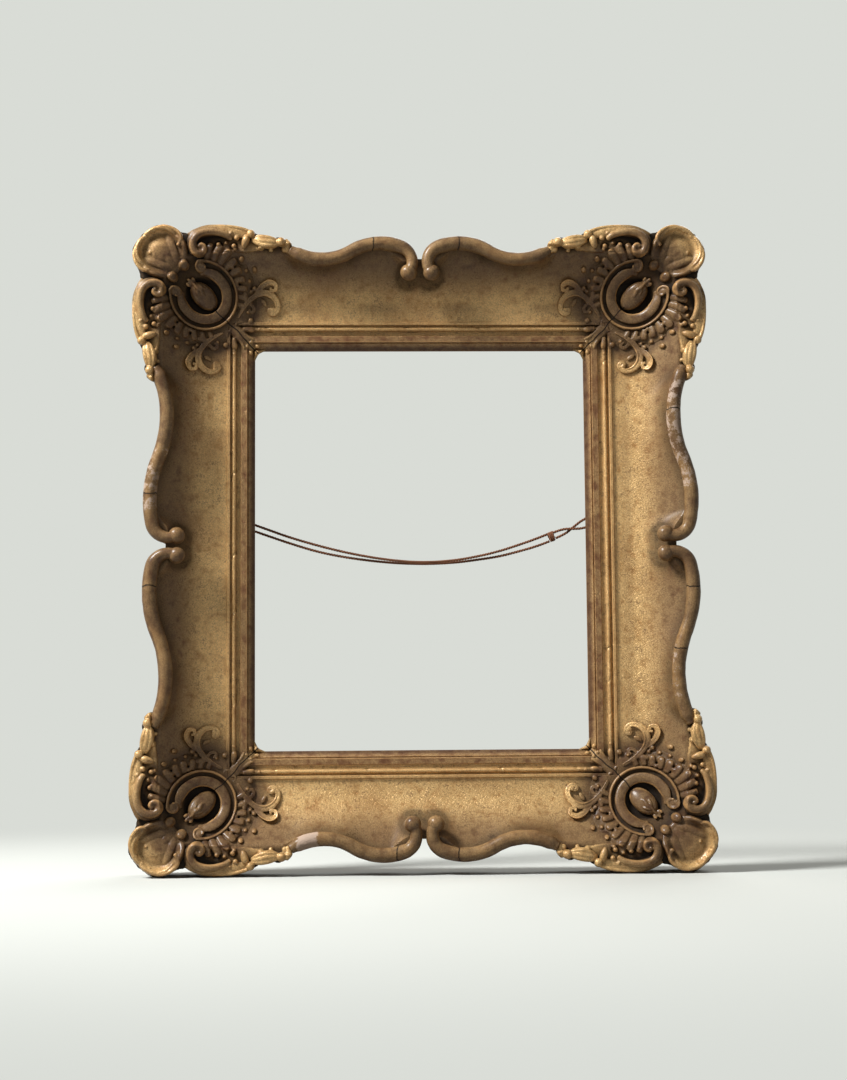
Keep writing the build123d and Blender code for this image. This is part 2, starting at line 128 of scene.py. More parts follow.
class FrameColours(bpy.types.PropertyGroup):
    """The colours of its finishes."""
    gold: colour("Gold", "Gold leaf in the coves", "e6bd7f")
    dull_gold: colour("Dull gold", "Gold leaf under old size and dust", "96642b")
    # The rubbed gold is also the crests' painted highlight
    rubbed_gold_and_highlight: colour("Rubbed gold", "Gold leaf on the crests, rubbed bright", "d0a066")
    # Umber on the rails' outer cove is also painted shade
    umber: colour("Umber", "Brown toning that lies over the ornament", "442611")
    bole: colour("Bole", "Red clay ground under the leaf", "653a20")
    # The soot colour also paints the shade in the hollows
    soot_and_shade: colour("Soot", "Dirt settled in the hollows", "140c06")
    wash: colour("Wash", "Ochre size brushed on the sides", "8a6432")
    gesso: colour("Gesso", "Bare gesso where the leaf has gone", "cdb6a4")
    pine: colour("Pine", "Old pine of the back", "9a6f43")
    twine: colour("Twine", "Old hemp twine", "7a4a30")
    steel: colour("Steel", "Tarnished steel of the screw eyes", "6e6a64")
    brass: colour("Brass", "Tarnished brass of the turn buttons", "a5853f")
    floor: colour("Floor", "Pale studio floor and backdrop", "d9dcd6")


def smooth_step(low, high, values):
    """0 below low, 1 above high and an S between."""
    share = np.clip((np.asarray(values, float) - low) / (high - low), 0, 1)
    return share * share * (3 - 2 * share)


def wander(places, wavelength, seed):
    """A smooth random line between -1 and 1 along the places, the same for the same seed."""
    rng = np.random.default_rng(seed)
    low = float(np.min(places)) - wavelength
    count = int((np.max(places) - low) / wavelength) + 4
    knots = rng.uniform(-1, 1, count)
    at = (np.asarray(places, float) - low) / wavelength
    i = np.floor(at).astype(int)
    return knots[i] + (knots[i + 1] - knots[i]) * smooth_step(0, 1, at - i)


def run_of(line):
    """How far along a line each of its points lies."""
    return np.append(0, np.cumsum(np.linalg.norm(np.diff(line, axis=0), axis=1)))


def line_at(line, at):
    """The points of a line at distances along it."""
    run = run_of(line)
    return np.column_stack([np.interp(at, run, column) for column in np.transpose(line)])


def curve_through(rows, step):
    """Rows of numbers along a smooth curve through the given rows, about a step apart."""
    rows = np.asarray(rows, float)
    ends = np.vstack([2 * rows[0] - rows[1], rows, 2 * rows[-1] - rows[-2]])
    made = []
    for a, b, c, d in zip(ends, ends[1:], ends[2:], ends[3:]):
        count = max(int(math.ceil(np.linalg.norm((c - b)[:3]) / step)), 1)
        t = (np.arange(count) / count)[:, None]
        made.append(0.5 * (2 * b + (c - a) * t + (2 * a - 5 * b + 4 * c - d) * t ** 2
                           + (3 * b - a - 3 * c + d) * t ** 3))
    return np.vstack(made + [rows[-1:]])


def grid_faces(rows, columns, closed_rows=False, closed_columns=False):
    """Quads of a grid of points stored row by row."""
    r = np.arange(rows if closed_rows else rows - 1)
    c = np.arange(columns if closed_columns else columns - 1)
    r, c = (x.ravel() for x in np.meshgrid(r, c, indexing="ij"))
    r2, c2 = (r + 1) % rows, (c + 1) % columns
    return np.column_stack([r * columns + c, r * columns + c2, r2 * columns + c2, r2 * columns + c])


def tube_faces(rings, sides):
    """Faces of a tube of points stored ring by ring, with a flat face at either end."""
    faces = [tuple(f) for f in grid_faces(rings, sides, closed_columns=True)]
    return faces + [tuple(range(sides - 1, -1, -1)), tuple(range((rings - 1) * sides, rings * sides))]


def pointed_faces(rings, sides):
    """Faces of a tube of points stored ring by ring, closed by its last two points, one at either end."""
    faces = [tuple(f) for f in grid_faces(rings, sides, closed_columns=True)]
    first, base = rings * sides, (rings - 1) * sides
    for i in range(sides):
        j = (i + 1) % sides
        faces += [(first, j, i), (first + 1, base + i, base + j)]
    return faces


def rings_round(line, side, up, half_width, half_height, sides):
    """Points of ovals round a line, ring by ring, from its unit vectors to the side and up."""
    turn = np.linspace(0, 2 * math.pi, sides, endpoint=False)
    return (line[:, None] + side[:, None] * (half_width[:, None] * np.cos(turn))[..., None]
            + up[:, None] * (half_height[:, None] * np.sin(turn))[..., None]).reshape(-1, 3)


LEAST_RADIUS = 0.05
CAP_SHARE = 0.45
# A leaf's half width, as a share of its greatest, at shares of its length
LEAF_SHARES = ((0, 0.35), (0.225, 0.8), (0.45, 1.0), (0.8, 0.8), (0.95, 0.5), (1, 0.2))


def bar(rows, sides=14, flat=1.0, step=0.6):
    """A closed round bar along rows of (u, v, h, radius). Its height as a share of its width is flat,
    or else a fifth number in the rows."""
    rows = np.asarray(rows, float)
    if rows.shape[1] == 4:
        rows = np.column_stack([rows, np.full(len(rows), flat)])
    path = curve_through(rows, step)
    place, radius = path[:, :3], np.maximum(path[:, 3], LEAST_RADIUS)
    along = np.gradient(place, axis=0)
    along /= np.linalg.norm(along, axis=1)[:, None] + 1e-9
    side = np.cross(along, (0.0, 0.0, 1.0))
    side /= np.linalg.norm(side, axis=1)[:, None] + 1e-9
    cap = along * (radius * CAP_SHARE)[:, None]
    rings = rings_round(place, side, np.cross(side, along), radius, radius * path[:, 4], sides)
    return np.vstack([rings, place[0] - cap[0], place[-1] + cap[-1]]), pointed_faces(len(path), sides)


def ball(centre, radii, turn=0.0, rings=10, sides=16):
    """A closed ellipsoid, its first two radii in the plane and turned by an angle there."""
    radii = np.broadcast_to(np.asarray(radii, float), (3,))
    tilt = np.linspace(-math.pi / 2, math.pi / 2, rings + 2)[1:-1]
    spin = np.linspace(0, 2 * math.pi, sides, endpoint=False)
    x = np.outer(np.cos(tilt), np.cos(spin)).ravel() * radii[0]
    y = np.outer(np.cos(tilt), np.sin(spin)).ravel() * radii[1]
    z = np.outer(np.sin(tilt), np.ones(sides)).ravel() * radii[2]
    x, y, z = np.append(x, [0, 0]), np.append(y, [0, 0]), np.append(z, [-radii[2], radii[2]])
    c, s = math.cos(turn), math.sin(turn)
    points = np.column_stack([c * x - s * y, s * x + c * y, z]) + np.asarray(centre, float)
    return points, pointed_faces(rings, sides)


def balls(rows, rings, sides):
    """A ball for each row of (u, v, h, radius)."""
    return [ball(row[:3], row[3], 0, rings, sides) for row in rows]


def leaf(base, tip, width, height):
    """A closed leaf like a drop, from its base to its rounded tip, both (u, v, h)."""
    base, tip = np.asarray(base, float), np.asarray(tip, float)
    rows = [(*(base + (tip - base) * at), width / 2 * swell) for at, swell in LEAF_SHARES]
    return bar(rows, 12, height, 0.9)


def joined(parts):
    """Several (points, faces) as one."""
    points, faces, base = [], [], 0
    for more_points, more_faces in parts:
        points.append(np.asarray(more_points, float))
        faces += [tuple(int(i) + base for i in face) for face in more_faces]
        base += len(more_points)
    return np.vstack(points), faces


def swap(part):
    """A corner part mirrored about its mitre."""
    points, faces = part
    return np.asarray(points)[:, [1, 0, 2]], [tuple(face)[::-1] for face in faces]


def swapped(parts):
    """The parts with their mirror images about the mitre."""
    return list(parts) + [swap(part) for part in parts]


def mesh_of(name, points, faces):
    """A mesh datablock from points in metres."""
    mesh = bpy.data.meshes.new(name)
    mesh.from_pydata([tuple(p) for p in points], [], [tuple(int(i) for i in f) for f in faces])
    mesh.validate()
    mesh.update()
    return mesh


def read_vectors(elements, name):
    """One vector for each element of a mesh, as rows."""
    flat = np.empty(len(elements) * 3, np.float32)
    elements.foreach_get(name, flat)
    return flat.reshape(-1, 3).astype(float)


def cast(parts, voxel):
    """One closed skin round overlapping parts, as composition from a mould has, in millimetres."""
    points, faces = joined(parts)
    rough = bpy.data.objects.new("rough", mesh_of("rough", points * MM, faces))
    bpy.context.scene.collection.objects.link(rough)
    skin = rough.modifiers.new("skin", "REMESH")
    skin.mode = "VOXEL"
    skin.voxel_size = voxel * MM
    soft = rough.modifiers.new("soft", "SMOOTH")
    soft.factor = 0.5
    soft.iterations = 1
    made = bpy.data.meshes.new_from_object(rough.evaluated_get(bpy.context.evaluated_depsgraph_get()))
    skin_points = read_vectors(made.vertices, "co") / MM
    skin_faces = [tuple(polygon.vertices) for polygon in made.polygons]
    bpy.data.objects.remove(rough)
    bpy.data.meshes.remove(made)
    return skin_points, skin_faces


def write_piece(name, part, node, finish):
    """Writes a part that is upright and in metres as a piece that stands for a node."""
    piece = bpy.data.objects.new(name, mesh_of(name, *part))
    bpy.context.scene.collection.objects.link(piece)
    piece.data.shade_smooth()
    piece.data.materials.append(finish)
    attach(piece, "root")
    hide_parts(node)
    return piece


def write_gilded(name, part, node):
    """Writes a part in bench millimetres as an upright gilded piece."""
    points, faces = part
    points = np.asarray(points, float)[:, [0, 2, 1]] * (MM, -MM, MM)
    piece = write_piece(name, (points, faces), node, finishes()["gilding"])
    piece["gilded"] = True
    return piece


def at_corner(part, corner):
    """A corner part moved from about the sight corner to its corner of the frame."""
    points, faces = part
    across, up = CORNERS[corner]
    points = np.asarray(points, float)
    points = np.column_stack([across * (HALF_WIDTH + points[:, 0]),
                              up * (HALF_HEIGHT + points[:, 1]), points[:, 2]])
    if across * up < 0:
        faces = [tuple(face)[::-1] for face in faces]
    return points, faces


def sizes_in_millimetres():
    """The panel's sizes in millimetres, by name."""
    group = bpy.context.scene.frame_sizes
    return {name: getattr(group, name) / MM for name in FrameSizes.__annotations__}


# The moulding, as (across, height) from the sight edge outwards
SIGHT_EDGE = (0.0, 12.5)
SIGHT_BAND = (4.4, 17.0)
LINE = ((4.4, 16.1), (5.2, 16.1))
STEP = ((5.2, 18.2), (10.0, 18.2))
INNER_GROOVE = ((10.0, 16.9), (13.2, 16.9))
BEAD_AT = 14.7
BEAD_BASE = 18.6
BEAD_SPAN = (12.9, 16.5)
OUTER_GROOVE = ((16.2, 17.8), (17.5, 17.8))
FILLET = ((17.5, 20.6), (19.9, 20.6))
COVE_FOOT = (19.9, 19.2)
PAST_FOOT = (21.5, 19.2)
MOULDING_END = 19.8
EDGE_SOFTNESS = 0.32
MOULDING_STEP = 0.27
SOFT_STEPS = 4
CORNER_COVE_END = 65.2
RAIL_REACH = 90.0
# The rim from the cove's end to the wood's edge: shares of the way, and how far it drops there
RIM_SHARES = ((0.3, 0), (0.6, 0), (0.85, 0.1), (0.95, 0.45), (1, 1.4))
# The outer side from the top down, washed as far as its sixth row, and then the back and the rebate
SIDE_HEIGHTS = (36, 28, 20, 12, 5, 1.2, 0.3, 0)
WASHED_ROWS = 6
REBATE_WIDTH = 7.95
REBATE_DEPTH = 9.5
ARRIS = 0.4
BACK_ROWS = ((72, 0), (60, 0), (45, 0), (30, 0), (18, 0), (REBATE_WIDTH + ARRIS, 0), (REBATE_WIDTH, ARRIS),
             (REBATE_WIDTH, REBATE_DEPTH), (ARRIS, REBATE_DEPTH), (0, REBATE_DEPTH + ARRIS))
SIDE_ARRIS = 0.5
BACK_INSET = 1
# Where across a rail its outer edge is looked for: from, to and in how many places
EDGE_SEARCH = (62, 92, 121)
COVE_MIDDLE = 55
RAIL_COLUMNS = 470
COVE_ROWS = 44
# How deep the chips are on the bead and on the rest of the moulding
BEAD_CHIP = 0.7
EDGE_CHIP = 0.12
# The slots of a rail's finishes
GILT, WASHED, BARE = range(3)

# The wavy edge: the reach of a corner's lobes, how far the wood and the ground stay inside them, and
# the lobes as shares of their reach, and then the sweeps
LOBE_REACH = 88.0
WOOD_INSET = 3.0
LOBE_MARGIN = 0.7
LOBE_SHARES = ((0.915, 0.915), (0.76, 1.0), (0.535, 0.93), (0.28, 0.995), (0.0, 0.935),
               (-0.07, 0.885), (-0.13, 0.86), (-0.215, 0.895), (-0.29, 0.81))
SWEEP_CENTRE = 67.2
SWEEP_HALF_WIDTH = 5.0
WAVE_HEIGHT = 11.8
CURL_RADIUS = 12.0
CURL_ANGLE = 108.0
CUSP_GAP = 0.6
SWEEP_HEIGHT = 42.0
SWEEP_LIFT = 0.3
SWEEP_STEP = 0.55
ARC_STEP = 0.6
WOOD_PAST_CENTRE = 2.0
# A sweep: its half rail's length, its run past the corner and the shares of its valley and bulge
SWEEPS = {"across": (HALF_WIDTH, 27.0, 0.59, 0.235), "up": (HALF_HEIGHT, 18.0, 0.637, 0.222)}
# Where the cove ends beside a sweep, at mid-rail and at least, and the zones in which that changes
COVE_TO_CENTRE = 3.6
CUSP_COVE_END = 60.0
LEAST_COVE_END = 58.5
CUSP_ZONE = (9.0, 24.0)
CORNER_ZONE = (34.0, 22.0)


def arc(start, heading, radius, turn):
    """Points along an arc that turns left for a positive turn, and its end and heading."""
    heading = np.asarray(heading, float) / np.linalg.norm(heading)
    left = np.array([-heading[1], heading[0]]) * math.copysign(1, turn)
    centre = np.asarray(start, float) + left * radius
    last = math.radians(abs(turn))
    angle = np.linspace(0, last, max(int(radius * last / ARC_STEP), 4))
    points = centre - left * radius * np.cos(angle)[:, None] + heading * radius * np.sin(angle)[:, None]
    return points, points[-1], heading * math.cos(last) + left * math.sin(last)


def sweep_path(kind):
    """A sweep's middle line as (along, across) from the corner to the ball."""
    half, run, valley_share, bulge_share = SWEEPS[kind]
    valley_at, bulge_at = half * valley_share, half * bulge_share
    reach, rise = (valley_at - bulge_at) / 2, WAVE_HEIGHT / 2
    radius = (reach ** 2 + rise ** 2) / (2 * rise)
    slope = 2 * math.atan(rise / reach)
    end = half - run
    lead = math.asin((end - valley_at) / radius)
    start = (end, SWEEP_CENTRE - rise + radius * (1 - math.cos(lead)))
    fall = math.asin((bulge_at - CURL_RADIUS - SWEEP_HALF_WIDTH - CUSP_GAP) / (radius - CURL_RADIUS))
    valley, place, heading = arc(start, (-math.cos(lead), -math.sin(lead)), radius,
                                 -math.degrees(lead + slope))
    bulge, place, heading = arc(place, heading, radius, math.degrees(slope + fall))
    curl = arc(place, heading, CURL_RADIUS, CURL_ANGLE)[0]
    return np.vstack([valley, bulge[1:], curl[1:]])


def lobe_line(inset, half=0.0):
    """The lobed edge of a corner as (along, across), from the mitre inwards and set in by an inset."""
    return curve_through([(half + along * LOBE_REACH, across * LOBE_REACH - inset, 0)
                          for along, across in LOBE_SHARES], 0.5)[:, :2]


def wood_edge(kind):
    """The wood's outer edge on half a rail as (along, across), sorted from the middle outwards."""
    lobes = lobe_line(WOOD_INSET, SWEEPS[kind][0])
    path = sweep_path(kind)
    ahead = np.gradient(path, axis=0)
    ahead /= np.linalg.norm(ahead, axis=1)[:, None]
    outer = path + np.column_stack([ahead[:, 1], -ahead[:, 0]]) * WOOD_PAST_CENTRE
    keep = np.maximum.accumulate(-outer[:, 0]) == -outer[:, 0]
    outer = outer[keep & (outer[:, 0] < lobes[-1, 0])]
    line = np.vstack([lobes, outer])[::-1]
    return np.vstack([[0.0, line[0, 1]], line])


def tube_inner_edge(kind, along):
    """How far across the inner side of the sweep lies, which is where the cove ends."""
    path = sweep_path(kind)[::-1]
    path = path[np.maximum.accumulate(path[:, 0]) == path[:, 0]]
    away, half = np.abs(along), SWEEPS[kind][0]
    inner = np.interp(away, path[:, 0], path[:, 1]) - COVE_TO_CENTRE
    calm = smooth_step(half - CORNER_ZONE[0], half - CORNER_ZONE[1], away)
    cusp = 1 - smooth_step(*CUSP_ZONE, away)
    inner = inner * (1 - calm) + CORNER_COVE_END * calm
    return np.maximum(inner * (1 - cusp) + CUSP_COVE_END * cusp, LEAST_COVE_END)


def cove_arc(share, sizes, stretch=0.0):
    """The cove as (across, height) at shares of its width, its outer part stretched outwards."""
    width, hollow = sizes["cove_width"], sizes["cove_hollow"]
    rise = sizes["rim_height"] - COVE_FOOT[1]
    chord = math.hypot(width, rise)
    radius = (chord ** 2 / 4 + hollow ** 2) / (2 * hollow)
    tilt = math.atan2(rise, width)
    half = math.asin(chord / 2 / radius)
    angle = -math.pi / 2 + tilt - half + 2 * half * np.asarray(share, float)
    centre = (COVE_FOOT[0] + width / 2 - math.sin(tilt) * (radius - hollow),
              COVE_FOOT[1] + rise / 2 + math.cos(tilt) * (radius - hollow))
    across = centre[0] + radius * np.cos(angle) + stretch * np.asarray(share, float) ** 3
    return across, centre[1] + radius * np.sin(angle)


def surface_height(across, sizes):
    """The height of the bare moulding at a distance across, from the cove's foot outwards."""
    at, height = cove_arc(np.linspace(0, 1, 60), sizes, CORNER_COVE_END - COVE_FOOT[0] - sizes["cove_width"])
    return np.interp(across, np.append(at, RAIL_REACH), np.append(height, sizes["rim_height"]))


def moulding_rows(sizes):
    """The moulding from the lip to the cove's foot, with its edges softened, as (across, height)."""
    r = sizes["bead_radius"]
    bead = [(BEAD_AT + r * math.cos(a), BEAD_BASE + r * math.sin(a)) for a in np.linspace(math.pi, 0, 9)]
    corners = np.array([SIGHT_EDGE, SIGHT_BAND, *LINE, *STEP, *INNER_GROOVE, *bead, *OUTER_GROOVE, *FILLET,
                        COVE_FOOT, PAST_FOOT])
    line = line_at(corners, np.arange(0, run_of(corners)[-1], MOULDING_STEP))
    reach = np.arange(-SOFT_STEPS, SOFT_STEPS + 1)
    weights = np.exp(-0.5 * (reach * MOULDING_STEP / EDGE_SOFTNESS) ** 2)
    padded = np.pad(line, ((SOFT_STEPS, SOFT_STEPS), (0, 0)), mode="edge")
    soft = sum(w * padded[k:k + len(line)] for k, w in enumerate(weights)) / weights.sum()
    soft[0] = SIGHT_EDGE
    return soft[soft[:, 0] < MOULDING_END]


def rail_part(kind, sizes, seed):
    """One mitred rail as a closed mesh, drawn as the top one, and the slot of each face's finish."""
    half = SWEEPS[kind][0]
    edge = wood_edge(kind)
    t = np.linspace(-1, 1, RAIL_COLUMNS)
    trial = np.linspace(*EDGE_SEARCH)
    along = np.abs(t)[:, None] * (half + trial[None, :])
    beyond = trial[None, :] - np.interp(along, edge[:, 0], edge[:, 1])
    outer = trial[np.argmax(beyond >= 0, axis=1)]

    def row(across, height):
        return np.column_stack([t * (half + across), across, height + 0 * across])

    rows = []
    for across, height in moulding_rows(sizes):
        s = t * (half + across)
        tremble = 0.06 * wander(s, 17, seed) + 0.05 * wander(s, 5, seed + 1)
        deepest = BEAD_CHIP if BEAD_SPAN[0] < across < BEAD_SPAN[1] else EDGE_CHIP
        chip = smooth_step(0.72, 0.95, wander(s, 6, seed + 2)) * deepest
        rows.append(row(across + 0 * t, height + tremble - chip))
    stretch = tube_inner_edge(kind, t * (half + COVE_MIDDLE)) - (COVE_FOOT[0] + sizes["cove_width"])
    shares = np.linspace(0.008, 1, COVE_ROWS)
    for share, across, height in zip(shares, *cove_arc(shares, sizes)):
        a = across + stretch * share ** 3
        swell = 0.12 * wander(t * (half + a), 38, seed + 3) \
            + 0.04 * wander(t * (half + a) + 3 * across, 7, seed + 4)
        rows.append(row(a, height + swell))
    cove_end = rows[-1][:, 1]
    rows += [row(cove_end + (outer - cove_end) * share, sizes["rim_height"] - drop)
             for share, drop in RIM_SHARES]
    top_rows = len(rows)
    rows += [row(outer - (0 if height else SIDE_ARRIS), height) for height in SIDE_HEIGHTS]
    rows += [row(np.minimum(across + 0 * t, outer - BACK_INSET), height) for across, height in BACK_ROWS]
    faces = grid_faces(len(rows), RAIL_COLUMNS, closed_rows=True)[:, ::-1]
    order = [i * RAIL_COLUMNS for i in range(len(rows))]
    ends = [tuple(order), tuple(i + RAIL_COLUMNS - 1 for i in order)[::-1]]
    at = faces.min(axis=1) // RAIL_COLUMNS
    slots = np.where(at < top_rows, GILT, np.where(at < top_rows + WASHED_ROWS, WASHED, BARE))
    slots[faces.max(axis=1) // RAIL_COLUMNS == len(rows) - 1] = BARE
    return (np.vstack(rows), [tuple(f) for f in faces] + ends), [*slots, BARE, BARE]


def place_rail(part, side):
    """A rail turned from the top to its side of the frame."""
    points, faces = part
    x, y, h = points.T
    turned = {
        "top": (x, HALF_HEIGHT + y), "bottom": (-x, -HALF_HEIGHT - y),
        "right": (HALF_WIDTH + y, -x), "left": (-HALF_WIDTH - y, x),
    }[side]
    return np.column_stack([*turned, h]), faces


def make_rails():
    """The four rails: pine, gilded on the front, washed on the sides and bare on the back."""
    sizes = sizes_in_millimetres()
    for seed, (side, kind) in enumerate((("top", "across"), ("bottom", "across"),
                                         ("right", "up"), ("left", "up"))):
        part, slots = rail_part(kind, sizes, 40 + 10 * seed)
        piece = write_gilded(f"gilded_rail_{side}", place_rail(part, side), f"rail_{side}")
        for finish in ("wash", f"pine_{kind}"):
            piece.data.materials.append(finishes()[finish])
        for polygon, slot in zip(piece.data.polygons, slots):
            polygon.material_index = slot
        piece.data.set_sharp_from_angle(angle=math.radians(50))


def sweep_part(kind, sizes, seed):
    """One wavy bar with its ball, about the sight corner."""
    path = sweep_path(kind)
    length_of_path = run_of(path)[-1]
    at = np.arange(0, length_of_path, SWEEP_STEP)
    x, y = line_at(path, at).T
    left = length_of_path - at
    radius = sizes["sweep_radius"] * (1 + 0.05 * wander(at, 19, seed * 7 + (kind == "up")))
    radius *= 1 - 0.14 * (1 - smooth_step(4, 26, left))
    radius *= 0.72 + 0.28 * smooth_step(0, 7, at)
    radius += 0.10 * wander(at, 4, seed * 5 + 3)
    height = SWEEP_HEIGHT + SWEEP_LIFT + 0.5 * smooth_step(20, 0.5, left)
    rod = bar(np.column_stack([x, y, height, radius]), 26)
    radii = sizes["ball_radius"] * np.array((1, 0.96, 0.95))
    points, faces = joined([rod, ball((x[-1], y[-1], SWEEP_HEIGHT + SWEEP_LIFT), radii, 0.6, 22, 34)])
    points[:, 0] -= SWEEPS[kind][0]
    return swap((points, faces)) if kind == "up" else (points, faces)


def make_sweeps():
    """The eight wavy bars with their balls."""
    sizes = sizes_in_millimetres()
    for seed, corner in enumerate(CORNERS):
        end, side = corner.split("_")
        for kind, name in (("across", f"sweep_{end}_at_{side}"), ("up", f"sweep_{side}_at_{end}")):
            part = at_corner(sweep_part(kind, sizes, seed), corner)
            write_gilded(f"gilded_{name}", part, name)


# The corner ornament, about the sight corner, as rows of (u, v, h, radius). Heights are over the
# ground's top where nothing else is said
HORSESHOE = (36.0, 37.0)
# How much of the mitre's valley is filled, and where that ends
VALLEY_FILL = 13.0
VALLEY_ZONE = (18, 36)
# The ground's top: a disc round the horseshoe's centre and a band beyond the cove, how gently they
# rise, and how far inside them the bed ends
GROUND_THICKNESS = 2.2
DISC_RADIUS = 38.5
DISC_SLOPE = 9
BAND_START = 65.6
BAND_SLOPE = 1.5
DISC_INSET = 0.3
BAND_INSET = 0.2


def bed(u, v, sizes):
    """The height under the ornament: the two coves, with the mitre's valley filled to a soft hollow."""
    apart = np.abs(u - v)
    fill = (np.sqrt(apart ** 2 + VALLEY_FILL ** 2) - apart) / 2 * (1 - smooth_step(*VALLEY_ZONE, apart))
    return surface_height(np.maximum(u, v) + fill, sizes)


def past_band(across, along):
    """How far outside the inner edge of the ground's outer band points lie. The edge moves outwards
    along the rail."""
    return across - BAND_START - 0.15 * np.clip(6 - along, 0, None)


def ground_top(u, v, sizes):
    """The height of the ground's top, which thins out to nothing over the coves."""
    away = np.hypot(u - HORSESHOE[0], v - HORSESHOE[1])
    disc = smooth_step(0, DISC_SLOPE, DISC_RADIUS - away)
    band = smooth_step(0, BAND_SLOPE, past_band(np.maximum(u, v), np.minimum(u, v)))
    return bed(u, v, sizes) + GROUND_THICKNESS * np.maximum(disc, band)


def draped(parts, sizes, blend=0.0):
    """The parts laid over the ground, each point as far above it as it was above zero. The ground's
    steps are softened over the blend, in mm."""
    turns = np.linspace(0, 2 * math.pi, 16, endpoint=False)
    around = [(ring * blend * math.cos(a), ring * blend * math.sin(a)) for ring in (0.5, 1.0) for a in turns]
    laid = []
    for points, faces in parts:
        points = np.array(points, float)
        u, v = points[:, 0], points[:, 1]
        if blend:
            points[:, 2] += np.mean([ground_top(u + du, v + dv, sizes) for du, dv in around], axis=0)
        else:
            points[:, 2] += ground_top(u, v, sizes)
        laid.append((points, faces))
    return laid


# A strap's rolled lip: how far out and up it lies and how thick it is, as shares of the half width
LIP_OUT_SHARE = 0.8
LIP_UP_SHARE = 0.75
LIP_SHARE = 0.36


def strap(rows, side, flat):
    """A flat band with a rolled lip along one side, from rows of (u, v, h, half width)."""
    rows = np.asarray(rows, float)
    ahead = np.gradient(rows[:, :2], axis=0)
    ahead /= np.linalg.norm(ahead, axis=1)[:, None]
    edge = rows.copy()
    edge[:, :2] += np.column_stack([ahead[:, 1], -ahead[:, 0]]) * side * rows[:, 3:4] * LIP_OUT_SHARE
    edge[:, 2] += rows[:, 3] * flat * LIP_UP_SHARE
    edge[:, 3] *= LIP_SHARE
    return [bar(rows, 16, flat), bar(edge, 10)]


def from_horseshoe(distance, degrees, lift=0.0):
    """A point at a distance and a turn from the horseshoe's centre, the mitre lying at 45 degrees."""
    turn = math.radians(degrees)
    return (HORSESHOE[0] + distance * math.cos(turn), HORSESHOE[1] + distance * math.sin(turn), lift)


# The horseshoe: half the angle that is open, where its band and curls lie within its crest and its lip
# beyond it, the band at its ends and how it swells and rises from there, and the lip
OPEN_HALF_ANGLE = 41.0
BAND_WITHIN = 5.9
LIP_BEYOND = 1.3
CURL_WITHIN = 2.6
BAND_HALF_WIDTH = 2.3
BAND_SWELL = 1.4
BAND_HEIGHT = 0.9
BAND_RISE = 0.6
LIP_HEIGHT = 1.3
LIP_RADIUS = 1.1
LIP_SHAPE = 1.3
# A curl: its steps and the angle between two, in radians, its radius and how much that shrinks, its
# height and how thick it is with what each gains or loses in a step, its shape, and the disc in it
CURL_STEPS = 12
CURL_LEAD = 0.1
CURL_TURN = 0.40
CURL_START = 3.9
CURL_SHRINK = 1.5
CURL_HEIGHT = 1.5
CURL_RISE = 0.05
CURL_THICK = 1.25
CURL_THINNING = 0.03
CURL_SHAPE = 1.2
CURL_DISC_HEIGHT = 1.1
CURL_DISC_RADII = (3.2, 3.2, 1.6)


def cartouche_parts(sizes):
    """The horseshoe: a broad flat band within a thin lip, which curls round a disc at either end."""
    rim = sizes["horseshoe_radius"]
    start, stop = 45 + OPEN_HALF_ANGLE, 405 - OPEN_HALF_ANGLE
    turns = np.linspace(start - 4, stop + 4, 44)
    ends = np.minimum(turns - turns[0], turns[-1] - turns)
    band_width = BAND_HALF_WIDTH + BAND_SWELL * smooth_step(0, 42, ends)
    band = [(*from_horseshoe(rim - BAND_WITHIN, turn, BAND_HEIGHT + BAND_RISE * k), width)
            for turn, width, k in zip(turns, band_width, smooth_step(0, 30, ends))]
    lip_turns = np.linspace(start + 4, stop - 4, 48)
    lip = [(*from_horseshoe(rim + LIP_BEYOND, turn, LIP_HEIGHT), LIP_RADIUS, LIP_SHAPE)
           for turn in lip_turns]
    parts = [bar(band, 20, 0.5)]
    curls = []
    for side, turn in ((1, start), (-1, stop)):
        u, v = from_horseshoe(rim - CURL_WITHIN, turn)[:2]
        curl = []
        for k in range(CURL_STEPS + 1):
            angle = math.radians(turn) - side * (CURL_LEAD + k * CURL_TURN)
            reach = CURL_START - CURL_SHRINK * k / CURL_STEPS
            curl.append((u + reach * math.cos(angle), v + reach * math.sin(angle),
                         CURL_HEIGHT + CURL_RISE * k, CURL_THICK - CURL_THINNING * k, CURL_SHAPE))
        curls.append(curl)
        parts.append(ball((u, v, CURL_DISC_HEIGHT), CURL_DISC_RADII))
    parts.append(bar(curls[0][::-1] + lip + curls[1], 12, step=0.55))
    return draped(parts, sizes)


# The boss: its middle from the horseshoe's centre, and its radii
BOSS_OFFSET = (2.0, 2.0, -0.6)
BOSS_RADII = (11.6, 7.6, 6.4)
# The ridges on the boss, as (along, aside, lift, radius) from its middle, and the leaves at its tip
BOSS_RIDGES = (((-5.5, 1.2, 4.0, 0.9), (-2.5, -0.2, 5.2, 1.3), (0.5, 0.8, 5.6, 1.5), (3.5, 0.1, 5.3, 1.5),
                (7.0, 0.4, 3.8, 1.2), (10.6, 0, 1.8, 1.0)),
               ((-2.6, -3.2, 4.0, 0.8), (0.6, -2.4, 5.0, 1.2), (3.2, -0.8, 5.2, 1.0)),
               ((-1.5, 4.0, 3.8, 0.8), (1.8, 2.8, 4.9, 1.2), (4.4, 1.0, 5.0, 1.0)))
BOSS_LEAVES = (-3.2, 0, 3.2)
BOSS_LEAF_START = 8.0
BOSS_LEAF_END = 13.6
BOSS_LEAF_LIFT = 1.6
BOSS_LEAF_WIDTH = 3.2


